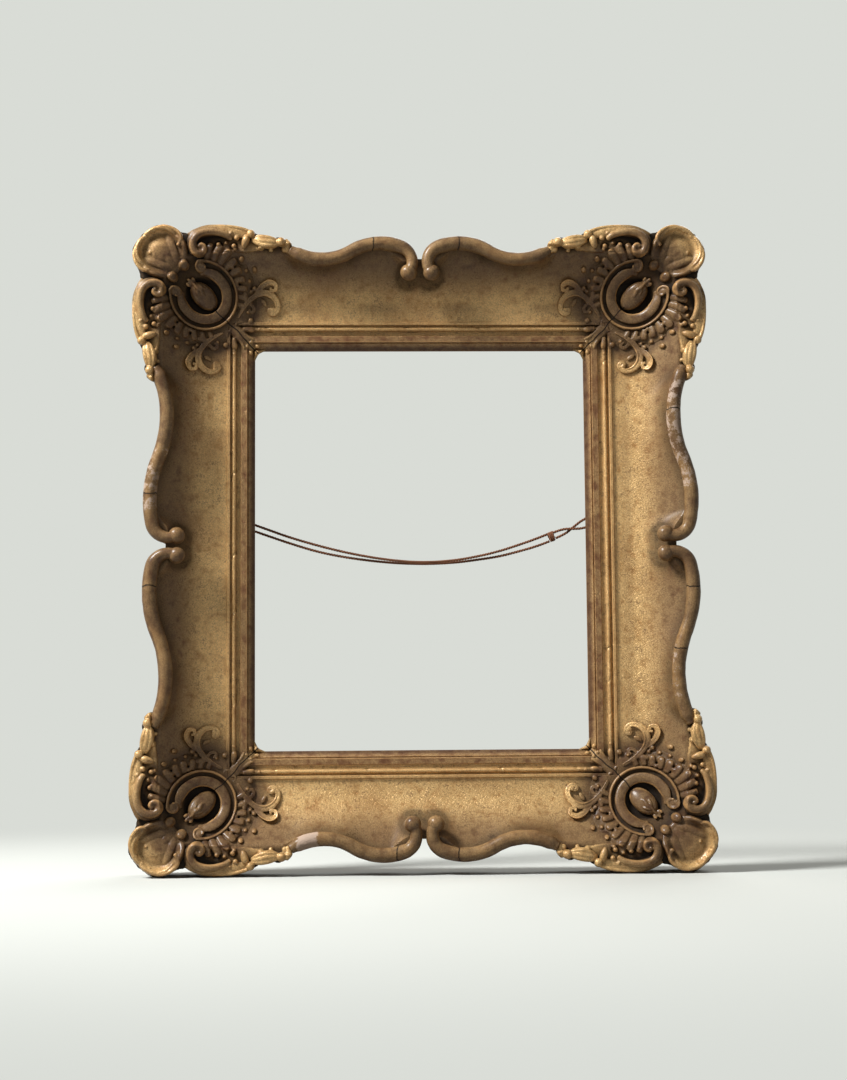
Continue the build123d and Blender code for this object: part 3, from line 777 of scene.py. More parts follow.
def boss_parts(sizes):
    """The egg in the dish: pointed outwards, with lumpy ridges on its crown and a small leaf at its tip."""
    out = math.sqrt(0.5)
    middle = (*(at + by for at, by in zip(HORSESHOE, BOSS_OFFSET)), BOSS_OFFSET[2])
    points, faces = ball((0, 0, 0), BOSS_RADII, math.pi / 4, 30, 48)
    ahead = (points[:, 0] + points[:, 1]) * out / BOSS_RADII[0]
    points[:, :2] *= (1 - 0.20 * ahead)[:, None]

    def on_boss(along, aside, lift):
        return (middle[0] + out * (along - aside), middle[1] + out * (along + aside), lift)

    parts = [(points + middle, faces)]
    for ridge in BOSS_RIDGES:
        parts.append(bar([(*on_boss(*row[:3]), row[3]) for row in ridge], 12))
    for aside in BOSS_LEAVES:
        base = on_boss(BOSS_LEAF_START, aside * 0.3, BOSS_LEAF_LIFT)
        tip = on_boss(BOSS_LEAF_END - abs(aside) * 0.5, aside, BOSS_LEAF_LIFT)
        parts.append(leaf(base, tip, BOSS_LEAF_WIDTH, 0.8))
    return draped(parts, sizes)


# The shell: its middle, and how far the ground's steps are softened under it
SHELL = (66.0, 66.4)
SHELL_BLEND = 7.0
SHELL_SIDES = 180
# The shell's section from its middle outwards: the share of its radius and the height
SHELL_SECTION = ((0.03, 2.6), (0.25, 2.3), (0.45, 1.2), (0.62, 0.7), (0.74, 2.4), (0.84, 4.7),
                 (0.92, 4.9), (0.97, 3.6), (1.0, 1.2), (0.99, -1.6), (0.95, -4.5))
# The three soft ribs in its hollow: how far each leans aside, and the rows of one with, last, the
# share of the lean
SHELL_RIBS = (0, -3.6, 3.6)
SHELL_RIB = ((54.0, 54.4, -0.4, 1.8, 0), (59.0, 59.4, 0.6, 2.8, 1), (64.4, 64.8, 0.9, 3.0, 1.7),
             (69.4, 69.8, 0.2, 2.2, 2.4))
SHELL_PEARLS = ((49.6, 57.2, 1.2, 3.7), (57.6, 48.6, 1.2, 3.7), (73.6, 65.4, 1.0, 1.5),
                (69.6, 58.4, 1.0, 1.4), (77.0, 77.6, 1.6, 2.2), (81.4, 72.0, 2.6, 1.9),
                (71.4, 81.4, 2.6, 1.7))
SHELL_LIPS = (((53.6, 70.6, 3.0, 1.5), (51.4, 74.4, 3.6, 1.6), (52.6, 79.0, 4.0, 1.5),
               (57.4, 82.8, 4.0, 1.4), (64.0, 84.4, 3.8, 1.4), (70.4, 83.0, 3.4, 1.3)),
              ((83.6, 69.6, 3.4, 1.3), (84.8, 63.6, 3.8, 1.4), (83.0, 57.4, 4.0, 1.5),
               (78.6, 52.6, 3.8, 1.5), (73.8, 52.4, 3.4, 1.4)))
# The opening of its mouth, in degrees from the middle of it, and the depth of the notches in its rim
MOUTH_ZONE = (24, 66)
NOTCH_DEPTH = 1.6


def shell_parts(sizes):
    """The shell: rolled lobes round a smooth hollow with soft ribs, pearls and two balls in its mouth."""
    rows = curve_through(SHELL_SECTION, 0.02)
    turn = np.linspace(0, 2 * math.pi, SHELL_SIDES, endpoint=False)
    share, spin = (a.ravel() for a in np.meshgrid(rows[:, 0], turn, indexing="ij"))
    height = np.repeat(rows[:, 1], SHELL_SIDES)
    lobe = np.abs(np.cos(2 * spin + 0.12 * np.sin(3 * spin)))
    from_mouth = np.abs((spin - math.pi / 4) % (2 * math.pi) - math.pi)
    closed = smooth_step(*np.radians(MOUTH_ZONE), from_mouth)
    reach = sizes["shell_radius"] * share * (1 - 0.07 * (1 - lobe) * smooth_step(0.5, 0.9, share))
    height *= 1 - 0.75 * (1 - closed) * smooth_step(0.4, 0.8, share)
    height -= NOTCH_DEPTH * (1 - lobe) ** 2 * smooth_step(0.66, 0.9, share) * closed
    points = np.column_stack([SHELL[0] + reach * np.cos(spin), SHELL[1] + reach * np.sin(spin), height])
    parts = [(points, tube_faces(len(rows), SHELL_SIDES))] + balls(SHELL_PEARLS, 14, 20)
    parts += [bar(lip, 12) for lip in SHELL_LIPS]
    for side in SHELL_RIBS:
        rib = [(u + side * lean, v - side * lean, lift, radius) for u, v, lift, radius, lean in SHELL_RIB]
        parts.append(bar(rib, 20, 0.5, 0.7))
    return draped(parts, sizes, SHELL_BLEND)


SCROLL_CREST = ((15.5, 75.6, 1.0, 1.7), (19.0, 78.2, 2.2, 2.3), (25.0, 80.0, 3.2, 2.5),
                (32.0, 80.4, 3.9, 2.7), (38.6, 78.4, 4.3, 2.8), (42.4, 73.8, 4.5, 2.8),
                (42.6, 68.4, 4.3, 2.8), (39.6, 64.6, 3.9, 2.7), (35.8, 65.2, 3.6, 2.4),
                (34.6, 68.4, 3.6, 2.1), (36.6, 70.8, 3.9, 1.8), (38.9, 69.2, 4.1, 1.6))
SCROLL_LIP = ((-1.4, 79.0, 0.3, 1.1), (3.0, 81.6, 0.9, 1.3), (9.0, 83.6, 1.2, 1.3), (17.0, 84.8, 1.4, 1.3),
              (26.0, 85.0, 1.5, 1.3), (35.0, 84.0, 1.5, 1.3), (42.0, 81.6, 1.4, 1.3), (46.4, 79.2, 1.0, 1.1))
SCROLL_FLANK = ((4.0, 78.6, 0.2, 2.6), (12.0, 80.6, 0.6, 3.6), (22.0, 82.0, 0.9, 4.2),
                (33.0, 81.6, 1.2, 4.4), (41.0, 78.0, 1.3, 4.4), (43.6, 71.6, 1.2, 4.2),
                (41.0, 66.0, 0.9, 3.8))
SCROLL_LEAF = ((3.6, 78.0, 1.2, 1.6), (4.8, 75.2, 1.8, 2.7), (6.0, 71.4, 1.4, 2.3), (6.6, 69.0, 0.8, 1.2))
SCROLL_PEARLS = ((11.6, 76.4, 1.2, 2.0), (15.6, 80.0, 1.8, 1.6), (20.4, 82.4, 1.8, 1.3))
SCROLL_EYE = ((37.0, 68.0, 2.2), (4.6, 4.6, 2.4))


def scroll_parts(sizes):
    """One C-scroll: its fat crest that ends in a curl, the flank outside it and a thin outer lip."""
    parts = [bar(SCROLL_CREST, 18), bar(SCROLL_LIP, 10), bar(SCROLL_FLANK, 18, 0.5, 0.8)]
    parts += [ball(*SCROLL_EYE), bar(SCROLL_LEAF), *balls(SCROLL_PEARLS, 10, 14)]
    return draped(parts, sizes)


SPRIG_STEM = ((23.0, 12.0, 0.2, 1.1), (28.5, 8.8, 0.6, 1.4), (34.0, 4.6, 0.9, 1.7),
              (38.6, -0.6, 1.2, 2.0), (40.6, -6.6, 1.5, 2.3), (39.0, -12.6, 1.6, 2.3),
              (34.6, -16.6, 1.4, 2.0), (29.0, -17.2, 1.2, 1.7), (25.4, -14.2, 1.1, 1.4),
              (26.2, -10.8, 1.3, 1.2), (28.8, -10.4, 1.5, 1.1), (29.6, -12.8, 1.6, 1.0))
SPRIG_LEAF = ((38.0, -0.4, 0.8, 1.1), (42.0, -3.0, 1.3, 1.5), (45.6, -7.2, 1.9, 1.8),
              (47.2, -11.8, 2.1, 1.8), (45.6, -15.6, 2.1, 1.6), (42.4, -15.4, 2.1, 1.3),
              (42.2, -12.6, 2.2, 1.1), (44.0, -12.2, 2.3, 0.9))
SPRIG_CURL = ((33.6, 4.8, 0.6, 0.9), (32.0, 1.6, 0.9, 1.2), (29.4, 0.0, 0.9, 1.3),
              (27.0, 1.2, 0.9, 1.2), (27.4, 3.6, 1.0, 1.0), (29.0, 3.6, 1.1, 0.9))
SPRIG_BALLS = (((28.4, -13.6, 1.0), (2.0, 2.0, 1.6)), ((20.6, 2.6, 0.6), (2.4, 2.2, 2.1)))
# Its small leaves: base, tip, width and the share of the height
SPRIG_LEAVES = (((33.6, 6.0, 0.8), (41.4, 6.6, 0.6), 4.0, 0.6),
                ((36.6, -5.4, 0.8), (31.2, -8.6, 0.8), 3.4, 0.6))


def sprig_parts(sizes):
    """A leafy spray on the cove: a band that coils, a leaf that curls back and a small inner curl."""
    parts = strap(SPRIG_STEM, 1, 0.55) + strap(SPRIG_LEAF, -1, 0.55) + strap(SPRIG_CURL, 1, 0.6)
    parts += [ball(*row) for row in SPRIG_BALLS] + [leaf(*row) for row in SPRIG_LEAVES]
    return draped(parts, sizes)


# The husk's ribs, each with its shift aside and its width, and the rows of one: the place along, the
# place across, the share of the shift, the height and the share of the width
LINK_RIBS = ((-2.8, 2.2), (0.0, 2.6), (2.7, 2.1))
LINK_RIB = ((0.5, 75.6, 0.3, 0.2, 0.5), (-4.0, 74.8, 0.8, 1.6, 0.9), (-9.5, 73.6, 1, 2.4, 1),
            (-14.5, 73.0, 0.8, 2.0, 0.9), (-18.6, 73.2, 0.3, 1.0, 0.55))
LINK_BEADS = ((1.4, 79.4, 1.2, 3.2), (-20.4, 73.4, 1.8, 3.4), (-22.8, 68.6, 0.8, 2.3),
              (-13.0, 68.4, 0.6, 1.8), (-6.0, 69.4, 0.6, 2.1), (-25.6, 72.0, 0.8, 2.1))
LINK_COLLAR = ((-23.4, 75.0, 0.2, 1.8), (-25.4, 71.0, 0.8, 2.9), (-25.0, 66.6, 0.2, 2.4))


def link_parts(sizes):
    """The husk between a scroll and its sweep: a ribbed leaf, with beads where the sweep starts."""
    parts = []
    for shift, wide in LINK_RIBS:
        rib = [(u, v + shift * lean, lift, wide * share) for u, v, lean, lift, share in LINK_RIB]
        parts.append(bar(rib))
    return draped(parts + balls(LINK_BEADS, 12, 18) + [bar(LINK_COLLAR)], sizes)


# The sight leaf, whose heights are over the back: the drop, curl and tendril on one side, and the web
# and spine on the mitre
SIGHT_DROP = ((-0.4, 14.5, 18.8, 1.3), (2.0, 14.4, 19.4, 2.1), (5.2, 14.7, 19.6, 1.9),
              (8.0, 15.0, 19.8, 1.4))
SIGHT_CURL = ((23.0, 19.6, 20.2, 0.9), (18.6, 22.0, 20.6, 1.2), (14.6, 21.4, 20.6, 1.2),
              (13.0, 18.6, 20.6, 1.1), (15.2, 17.2, 20.8, 1.0))
SIGHT_TENDRIL = ((11.6, 15.4, 20.0, 0.9), (8.0, 11.6, 19.2, 1.3), (3.6, 8.6, 18.4, 1.3),
                 (0.6, 7.4, 18.0, 0.9))
SIGHT_BEADS = (((-3.6, 14.7, 19.0), (1.8, 1.5, 1.5)), ((-1.8, 3.0, 15.8), (1.9, 1.6, 1.5)),
               ((2.4, 5.6, 17.6), (1.5, 1.3, 1.2)))
SIGHT_WEB = ((0.9, -7.5, 12.6, 0.8), (-0.7, -3.2, 13.0, 1.3), (-1.4, -1.4, 13.4, 1.9),
             (-3.2, -0.7, 13.0, 1.3), (-7.5, 0.9, 12.6, 0.8))
SIGHT_SPINE = ((19.5, 19.5, 19.8, 3.4), (14, 14, 19.0, 4.6), (9, 9, 17.8, 4.8), (4.6, 4.6, 16.0, 4.0),
               (1.0, 1.0, 14.0, 2.8))


def sight_leaf_parts(sizes):
    """The thin leaf over the mitre of the bead: a web that rounds the opening's corner, a curl on
    either side and a drop where the bead starts."""
    half = [bar(SIGHT_DROP), bar(SIGHT_CURL, 12, step=0.5), bar(SIGHT_TENDRIL, 12, step=0.5)]
    half += [ball(*row) for row in SIGHT_BEADS]
    return swapped(half) + [bar(SIGHT_WEB, 12, 1.3), bar(SIGHT_SPINE, 18, 0.5, 0.7)]


# The bed of the ground: its grid, where it starts and ends across and along the rail, how thin it
# is at least and how far it goes down, its dish, and how its outer edge is rounded
GROUND_STEP = 0.6
GRID_START = -31
GROUND_START = 18.4
GROUND_END = 28.5
LEAST_BED = 0.3
BED_DEPTH = 1.0
DISH_DEPTH = 4.4
DISH_ZONE = (9.5, 15.5)
DISH_END = (44, 54)
EDGE_ROUND = 2.4
EDGE_DROP = 2.6
# Leaves fanned round the horseshoe: the turn and the reach of each from its centre, and its width
FAN = ((95.5, 36.4, 4.6), (107.0, 37.0, 4.8), (118.5, 36.6, 4.8), (130.0, 34.4, 4.6), (141.5, 33.0, 4.4),
       (153.0, 32.2, 4.2), (165.0, 31.6, 4.0), (177.5, 31.0, 3.8), (190.0, 30.6, 3.6))
FAN_START = 24.4
# One leaf of the fan: the share of its length, its lift and the share of its width
FAN_LEAF = ((0, 0.4, 0.44), (0.35, 0.6, 0.50), (0.7, 0.7, 0.56), (0.95, 0.7, 0.46))
# The pearl past each leaf but the first: how far beyond its tip, how far round, and its height
FAN_PEARL = (2.6, 8, 0.4)
# Pearls on the ground as (u, v, lift, radius), each in a moat
PEARLS = ((8.2, 62.0, 1.0, 2.0), (-0.8, 55.4, 0.8, 2.1), (-0.6, 43.4, 0.6, 2.0), (13.6, 70.6, 1.0, 1.8),
          (24.6, 71.6, 1.2, 1.7), (30.6, 70.0, 1.2, 1.5), (12.6, 45.6, 0.6, 1.5), (15.4, 56.8, 0.8, 1.5))
MOAT_RADIUS = 2.3
MOAT_WIDTH = 0.8
MOAT_DEPTH = 1.5


def ground_bed(sizes):
    """The ground's bed: a thin sheet with a dish for the boss and a moat round each pearl."""
    at = np.arange(GRID_START, CAD_REACH, GROUND_STEP)
    u, v = np.meshgrid(at, at, indexing="ij")
    across, along = np.maximum(u, v), np.minimum(u, v)
    away = np.hypot(u - HORSESHOE[0], v - HORSESHOE[1])
    floor = surface_height(across, sizes)
    lobes = lobe_line(LOBE_MARGIN)[::-1]
    edge = np.interp(along, lobes[:, 0], lobes[:, 1]) - across
    top = ground_top(u, v, sizes)
    top -= DISH_DEPTH * (1 - smooth_step(*DISH_ZONE, away)) * (1 - smooth_step(*DISH_END, across))
    top = np.maximum(top, floor + LEAST_BED)
    for x, y in [row[:2] for row in PEARLS] + [row[1::-1] for row in PEARLS]:
        top -= MOAT_DEPTH * np.exp(-((np.hypot(u - x, v - y) - MOAT_RADIUS) / MOAT_WIDTH) ** 2)
    inward = np.clip(edge / EDGE_ROUND, 0, 1)
    top -= EDGE_DROP * (1 - np.sqrt(inward * (2 - inward)))
    covered = np.maximum(DISC_RADIUS - DISC_INSET - away, past_band(across, along) - BAND_INSET)
    keep = (np.minimum(np.minimum(edge, covered),
                       np.minimum(across - GROUND_START, along + GROUND_END)) > 0)
    count = keep.sum()
    index = -np.ones(keep.shape, int)
    index[keep] = np.arange(count)
    points = np.vstack([np.column_stack([u[keep], v[keep], height[keep]])
                        for height in (top, floor - BED_DEPTH)])
    i, j = np.nonzero(keep[:-1, :-1] & keep[1:, :-1] & keep[1:, 1:] & keep[:-1, 1:])
    quads = np.column_stack([index[i, j], index[i + 1, j], index[i + 1, j + 1], index[i, j + 1]])
    known = set(map(tuple, np.vstack([quads[:, [k, (k + 1) % 4]] for k in range(4)])))
    walls = [(b, a, a + count, b + count) for a, b in known if (b, a) not in known]
    return points, [tuple(q) for q in quads] + [tuple(q[::-1] + count) for q in quads] + walls


def ground_parts(sizes):
    """The ground under the ornament: its bed, the fan of leaves and the pearls."""
    parts = [bar([(*from_horseshoe(FAN_START + (reach - FAN_START) * k, turn + 4 * k, lift), width * wide)
                  for k, lift, wide in FAN_LEAF], flat=0.6) for turn, reach, width in FAN]
    parts += balls(PEARLS, 10, 14)
    beyond, aside, height = FAN_PEARL
    parts += balls([(*from_horseshoe(reach + beyond, turn + aside, height), sizes["pearl_radius"])
                    for turn, reach, _ in FAN[1:]], 8, 12)
    return [ground_bed(sizes)] + draped(swapped(parts), sizes)


# The pieces of a corner: what draws each, the cell of its cast, and whether it has a twin over the mitre
CASTINGS = {
    "ground": (ground_parts, 0.50, False), "cartouche": (cartouche_parts, 0.36, False),
    "boss": (boss_parts, 0.36, False), "shell": (shell_parts, 0.40, False),
    "scrolls": (scroll_parts, 0.38, True), "sprigs": (sprig_parts, 0.34, True),
    "links": (link_parts, 0.36, True), "sight_leaf": (sight_leaf_parts, 0.36, False),
}
SIDE_CLEARANCE = 0.15
FRONT_CLEARANCE = 0.1


def make_corners():
    """The corner ornament, cast once and mirrored to the four corners."""
    sizes = sizes_in_millimetres()
    farthest = (CAD_REACH - SIDE_CLEARANCE, CAD_REACH - SIDE_CLEARANCE, -cad_low[1] / MM - FRONT_CLEARANCE)
    for name, (draw, cell, twin) in CASTINGS.items():
        part = cast(draw(sizes), cell)
        points, faces = joined([part, swap(part)]) if twin else part
        points = np.minimum(points, farthest)
        for corner in CORNERS:
            write_gilded(f"{name}_ornament_{corner}", at_corner((points, faces), corner), f"{name}_{corner}")


# The twine, upright in millimetres: x to the right, y to the wall, z up
UPPER_STRAND = (
    (-122.807, 5.4, 19.984), (-113.403, 5.4, 16.583), (-97, 5.2, 10.5), (-75, 4.8, 3.9),
    (-52, 4.4, -1.9), (-25, 4.0, -6.8), (1, 4.0, -9.0), (25, 4.0, -7.6), (44, 4.2, -4.2),
    (58.8, 4.6, -0.6), (70.5, 5.0, 3.2), (84.295, 5.2, 7.851), (93.586, 5.2, 11.548),
)
LOWER_STRAND = (
    (-124.303, 5.4, 15.847), (-114.899, 5.4, 12.445), (-97, 5.6, 6.2), (-75, 5.8, -0.7),
    (-52, 6.1, -5.2), (-25, 6.3, -8.6), (1, 6.4, -9.9), (25, 6.4, -9.0), (44, 6.2, -6.6),
    (58.8, 6.0, -4.4), (70.5, 5.6, -1.4), (86.291, 5.2, 2.834), (95.582, 5.2, 6.530),
)
RIGHT_LOOP = (
    (98.603, 5.2, 13.005), (105.478, 5.2, 15.741), (113, 4.0, 15.5), (121.5, 4.3, 16.0),
    (130.5, 5.0, 20.5), (138.5, 5.6, 27.2), (145.5, 5.7, 28.2), (145.5, 11.1, 28.2),
    (138.5, 10.8, 27.6), (130, 8.8, 26.6), (121.5, 7.2, 23.2), (113.6, 6.7, 17.3),
    (107.105, 5.2, 11.653), (100.229, 5.2, 8.917),
)
LEFT_LOOP = (
    (-127.901, 5.4, 21.189), (-132.603, 5.4, 22.890), (-139.5, 5.6, 27.4), (-145.5, 5.7, 28.2),
    (-145.5, 11.1, 28.2), (-139.5, 11.1, 26.8), (-134.011, 5.4, 19.996), (-128.989, 5.4, 18.180),
)
CORDS = {
    "cord_upper_strand": (UPPER_STRAND, 0.223), "cord_lower_strand": (LOWER_STRAND, 0.225),
    "cord_right_loop": (RIGHT_LOOP, 0.105), "cord_left_loop": (LEFT_LOOP, 0.0439),
}
# The knots' middles and slopes
KNOTS = {"cord_knot_right": ((97.0, 5.2, 10.0), (0.93, 0.0, 0.37)),
         "cord_knot_left": ((-126.0, 5.4, 18.8), (0.94, 0.0, -0.34))}
# A knot's wrapping, with its half length, width and depth, and its core: how far aside its strands lie
KNOT_TURNS = 3
KNOT_WRAP = (1.75, 3.1, 1.25)
KNOT_CORE = 1.9
KNOT_STRANDS = (-1.7, 0, 1.7)
# How thick the twine is drawn in a knot's wrapping and core, as shares of its thickness elsewhere
WRAP_SHARE = 0.88
CORE_SHARE = 0.95
# The lay of the twine, in metres, and its plies
PLY_PITCH = 0.0062
PLIES = 3
PLY_SIDES = 9
TWINE_STEP = 0.00045
PLY_SHARE = 0.50


def route_points(name, route):
    """Points along the smooth line that a cord's route gives, in metres."""
    line = bpy.data.curves.new(name, "CURVE")
    line.dimensions = "3D"
    line.resolution_u = 24
    spline = line.splines.new("NURBS")
    spline.points.add(len(route) - 1)
    for point, place in zip(spline.points, route):
        point.co = (*(c * MM for c in place), 1)
    spline.order_u = 3
    spline.use_endpoint_u = True
    holder = bpy.data.objects.new(name, line)
    bpy.context.scene.collection.objects.link(holder)
    mesh = bpy.data.meshes.new_from_object(holder.evaluated_get(bpy.context.evaluated_depsgraph_get()))
    points = np.array([v.co[:] for v in mesh.vertices])
    bpy.data.objects.remove(holder)
    bpy.data.meshes.remove(mesh)
    return points


def evenly(points, step):
    """The same line with its points about a step apart, and how far along it each is."""
    end = run_of(points)[-1]
    at = np.linspace(0, end, max(int(end / step), 8))
    return line_at(points, at), at


def twisted(points, radius):
    """Twine of three plies laid round one another, about as thick as two radii."""
    line, at = evenly(points, TWINE_STEP)
    along = np.gradient(line, axis=0)
    along /= np.linalg.norm(along, axis=1)[:, None]
    side = np.cross(along, (0.0, 1.0, 0.0))
    side /= np.linalg.norm(side, axis=1)[:, None]
    up = np.cross(side, along)
    parts = []
    for ply in range(PLIES):
        lay = 2 * math.pi * (at / PLY_PITCH + ply / PLIES)
        spread = radius * PLY_SHARE * (1 + 0.05 * wander(at / MM, 3, ply))
        middle = line + side * (np.cos(lay) * spread)[:, None] + up * (np.sin(lay) * spread)[:, None]
        thick = radius * PLY_SHARE * (1 + 0.07 * wander(at / MM, 2.1, ply + 9))
        points = rings_round(middle, side, up, thick, thick, PLY_SIDES)
        parts.append((points, tube_faces(len(line), PLY_SIDES)))
    return joined(parts)


def knot_part(centre, slope, radius):
    """A knot in metres: twine wrapped round a core of three strands."""
    centre, along = np.asarray(centre), np.asarray(slope) / np.linalg.norm(slope)
    side = np.cross(along, (0.0, 1.0, 0.0))
    half_length, half_width, half_depth = KNOT_WRAP
    lay = np.linspace(0, 2 * math.pi * KNOT_TURNS, 32 * KNOT_TURNS)
    wrap = (centre + np.outer(np.linspace(-half_length, half_length, len(lay)), along)
            + np.outer(np.cos(lay) * half_width, side) + np.outer(np.sin(lay) * half_depth, (0, 1, 0))) * MM
    core = evenly(np.vstack([centre - along * KNOT_CORE, centre + along * KNOT_CORE]) * MM, 0.0004)[0]
    strands = [twisted(core + side * shift * MM, radius * CORE_SHARE) for shift in KNOT_STRANDS]
    return joined([twisted(wrap, radius * WRAP_SHARE), *strands])


def make_twine():
    """The hanging cord: two strands, the loops through the screw eyes and two wrapped knots."""
    radius = bpy.context.scene.frame_sizes.twine_radius
    finish = finishes()["twine"]
    knots = [write_piece(f"twine_{name}", knot_part(*place, radius), name, finish)
             for name, place in KNOTS.items()]
    for name, (route, reach) in CORDS.items():
        points = route_points(name, route)
        piece = write_piece(f"twine_{name}", twisted(points, radius), name, finish)


def add(tree, kind, inputs=None, **settings):
    """Adds a shader node with its settings, and with values or links for its inputs. A node among the
    values stands for its first output in use."""
    made = tree.nodes.new("ShaderNode" + kind)
    for name, value in settings.items():
        if name == "stops":
            while len(made.color_ramp.elements) < len(value):
                made.color_ramp.elements.new(0.5)
            for element, (place, shade) in zip(made.color_ramp.elements, value):
                element.position = place
                element.color = shade
        else:
            setattr(made, name, value)
    for socket, value in (inputs or {}).items():
        if isinstance(value, bpy.types.Node):
            value = next(output for output in value.outputs if output.enabled)
        if isinstance(value, bpy.types.NodeSocket):
            tree.links.new(value, made.inputs[socket])
        else:
            made.inputs[socket].default_value = value
    return made


def new_material(name):
    """A material with no nodes but the place on the object: the material, its node tree and the place."""
    material = bpy.data.materials.new(name)
    material.use_nodes = True
    tree = material.node_tree
    tree.nodes.clear()
    return material, tree, add(tree, "TexCoord").outputs["Object"]


def end_material(tree, height, strength, distance, values):
    """The end of a material: a surface with these values, its relief from a height, and the output."""
    bump = add(tree, "Bump", {"Height": height, "Strength": strength, "Distance": distance})
    shader = add(tree, "BsdfPrincipled", {**values, "Normal": bump})
    add(tree, "OutputMaterial", {"Surface": shader})


def gilding():
    """Water gilding on red bole, old and dirty, with painted shade in its hollows and painted highlights on
    its crests.
    """
    # The eye sees burnished leaf with a warm, soft shine on whatever stands proud, dull brown toning
    # over the ornament, fine crazing, red clay where an edge is rubbed, white gesso where a sweep has
    # worn through, and soot in the hollows that kills the shine. The crests' lighter rubbed leaf is also
    # a painted highlight, and the soot in the hollows and the toning on the rails' outer cove are also
    # painted shade
    c = bpy.context.scene.frame_colours
    material, tree, place = new_material("aged_water_gilding_on_bole")
    hollow, crest, aged, red, bare = (add(tree, "Attribute", attribute_name=layer).outputs["Fac"]
                                      for layer in PATINA_AND_PAINTED_LIGHT)
    # Stains of 35 mm, patches of 6.5 mm, specks of 1.1 mm and a crazing with cells of 1.9 mm, which
    # on the real frame are about half a millimetre and wouldn't show
    stain = add(tree, "TexNoise", {"Vector": place, "Scale": 1 / 0.035, "Detail": 4.0})
    patch = add(tree, "TexNoise", {"Vector": place, "Scale": 1 / 0.0065, "Detail": 6.0, "Roughness": 0.62})
    speck = add(tree, "TexNoise", {"Vector": place, "Scale": 1 / 0.0011, "Detail": 3.0})
    cells = add(tree, "TexVoronoi", {"Vector": place, "Scale": 1 / 0.0019}, feature="DISTANCE_TO_EDGE")
    craze = add(tree, "MapRange", {0: cells, 1: 0.0, 2: 0.10, 3: 1.0, 4: 0.0})
    # The leaf, stained, rubbed through to the clay and crazed
    tone = add(tree, "ValToRGB", {"Fac": patch}, stops=((0.22, c.dull_gold), (0.52, c.gold)))
    stained = add(tree, "MapRange", {0: stain, 1: 0.44, 2: 0.72, 3: 0.0, 4: 0.5})
    both = add(tree, "Math", {0: speck, 1: patch}, operation="MULTIPLY")
    rubbed_through = add(tree, "MapRange", {0: both, 1: 0.27, 2: 0.40, 3: 0.0, 4: 0.55})
    crazed = add(tree, "Math", {0: craze, 1: 0.30}, operation="MULTIPLY")
    # The bole on the flat of the step and the sight edge
    clay = add(tree, "MapRange", {0: patch, 1: 0.30, 2: 0.60, 3: 0.95, 4: 0.50})
    reddened = add(tree, "Math", {0: red, 1: clay}, operation="MULTIPLY")
    # The toning over the ornament, also painted shade on the rails' outer cove, and the crests that have
    # lost it, lighter as rubbed leaf and as a painted highlight
    toning = add(tree, "MapRange", {0: patch, 1: 0.3, 2: 0.7, 3: 0.92, 4: 0.68})
    toned_and_shaded = add(tree, "Math", {0: aged, 1: toning}, operation="MULTIPLY")
    rubbed_and_highlit = add(tree, "MapRange", {0: crest, 1: 0.35, 2: 1.0, 3: 0.0, 4: 0.60})
    # The soot, which in the hollows is also painted shade
    scatter = add(tree, "Math", {0: patch, 1: 0.5}, operation="SUBTRACT")
    uneven = add(tree, "Math", {0: scatter, 1: 0.8, 2: hollow}, operation="MULTIPLY_ADD")
    sooty_and_shaded = add(tree, "MapRange", {0: uneven, 1: 0.08, 2: 0.86, 3: 0.0, 4: 0.96})
    # The bare gesso, which no soot or painted shade covers
    wear = add(tree, "Math", {0: scatter, 1: 1.9, 2: bare}, operation="MULTIPLY_ADD")
    grit = add(tree, "Math", {0: speck, 1: 0.5}, operation="SUBTRACT")
    wear = add(tree, "Math", {0: grit, 1: 0.7, 2: wear}, operation="MULTIPLY_ADD")
    worn = add(tree, "MapRange", {0: wear, 1: 0.50, 2: 0.68, 3: 0.0, 4: 0.8})
    clean = add(tree, "Math", {0: 1.0, 1: sooty_and_shaded}, operation="SUBTRACT")
    worn = add(tree, "Math", {0: worn, 1: clean}, operation="MULTIPLY")
    for share, shade in ((stained, c.dull_gold), (rubbed_through, c.bole), (crazed, c.soot_and_shade),
                         (reddened, c.bole), (toned_and_shaded, c.umber), (rubbed_and_highlit, c.rubbed_gold_and_highlight), (sooty_and_shaded, c.soot_and_shade),
                         (worn, c.gesso)):
        tone = add(tree, "Mix", {0: share, 6: tone, 7: shade}, data_type="RGBA")
    # Dirt and the painted shade in the hollows, toning and gesso are matt and no metal
    grime = add(tree, "Math", {0: sooty_and_shaded, 1: worn}, operation="MAXIMUM")
    dull = add(tree, "Math", {0: grime, 1: toned_and_shaded}, operation="MAXIMUM")
    proud = add(tree, "Math", {0: dull, 1: rubbed_and_highlit}, operation="SUBTRACT", use_clamp=True)
    metal = add(tree, "MapRange", {0: proud, 1: 0.0, 2: 0.8, 3: 0.26, 4: 0.03})
    rough = add(tree, "MapRange", {0: dull, 1: 0.0, 2: 1.0, 3: 0.38, 4: 0.74})
    # A thin coat of old size gives glints wherever there is no soot, painted shade or bare gesso
    glaze = add(tree, "MapRange", {0: grime, 1: 0.0, 2: 0.6, 3: 0.46, 4: 0.03})
    grain = add(tree, "Math", {0: craze, 1: -0.6, 2: speck}, operation="MULTIPLY_ADD")
    grain = add(tree, "Math", {0: patch, 1: 1.6, 2: grain}, operation="MULTIPLY_ADD")
    end_material(tree, grain, 0.5, 0.0004, {
        "Base Color": tone, "Metallic": metal, "Roughness": rough, "Specular IOR Level": 0.2,
        "Coat Weight": glaze, "Coat Roughness": 0.27})
    return material


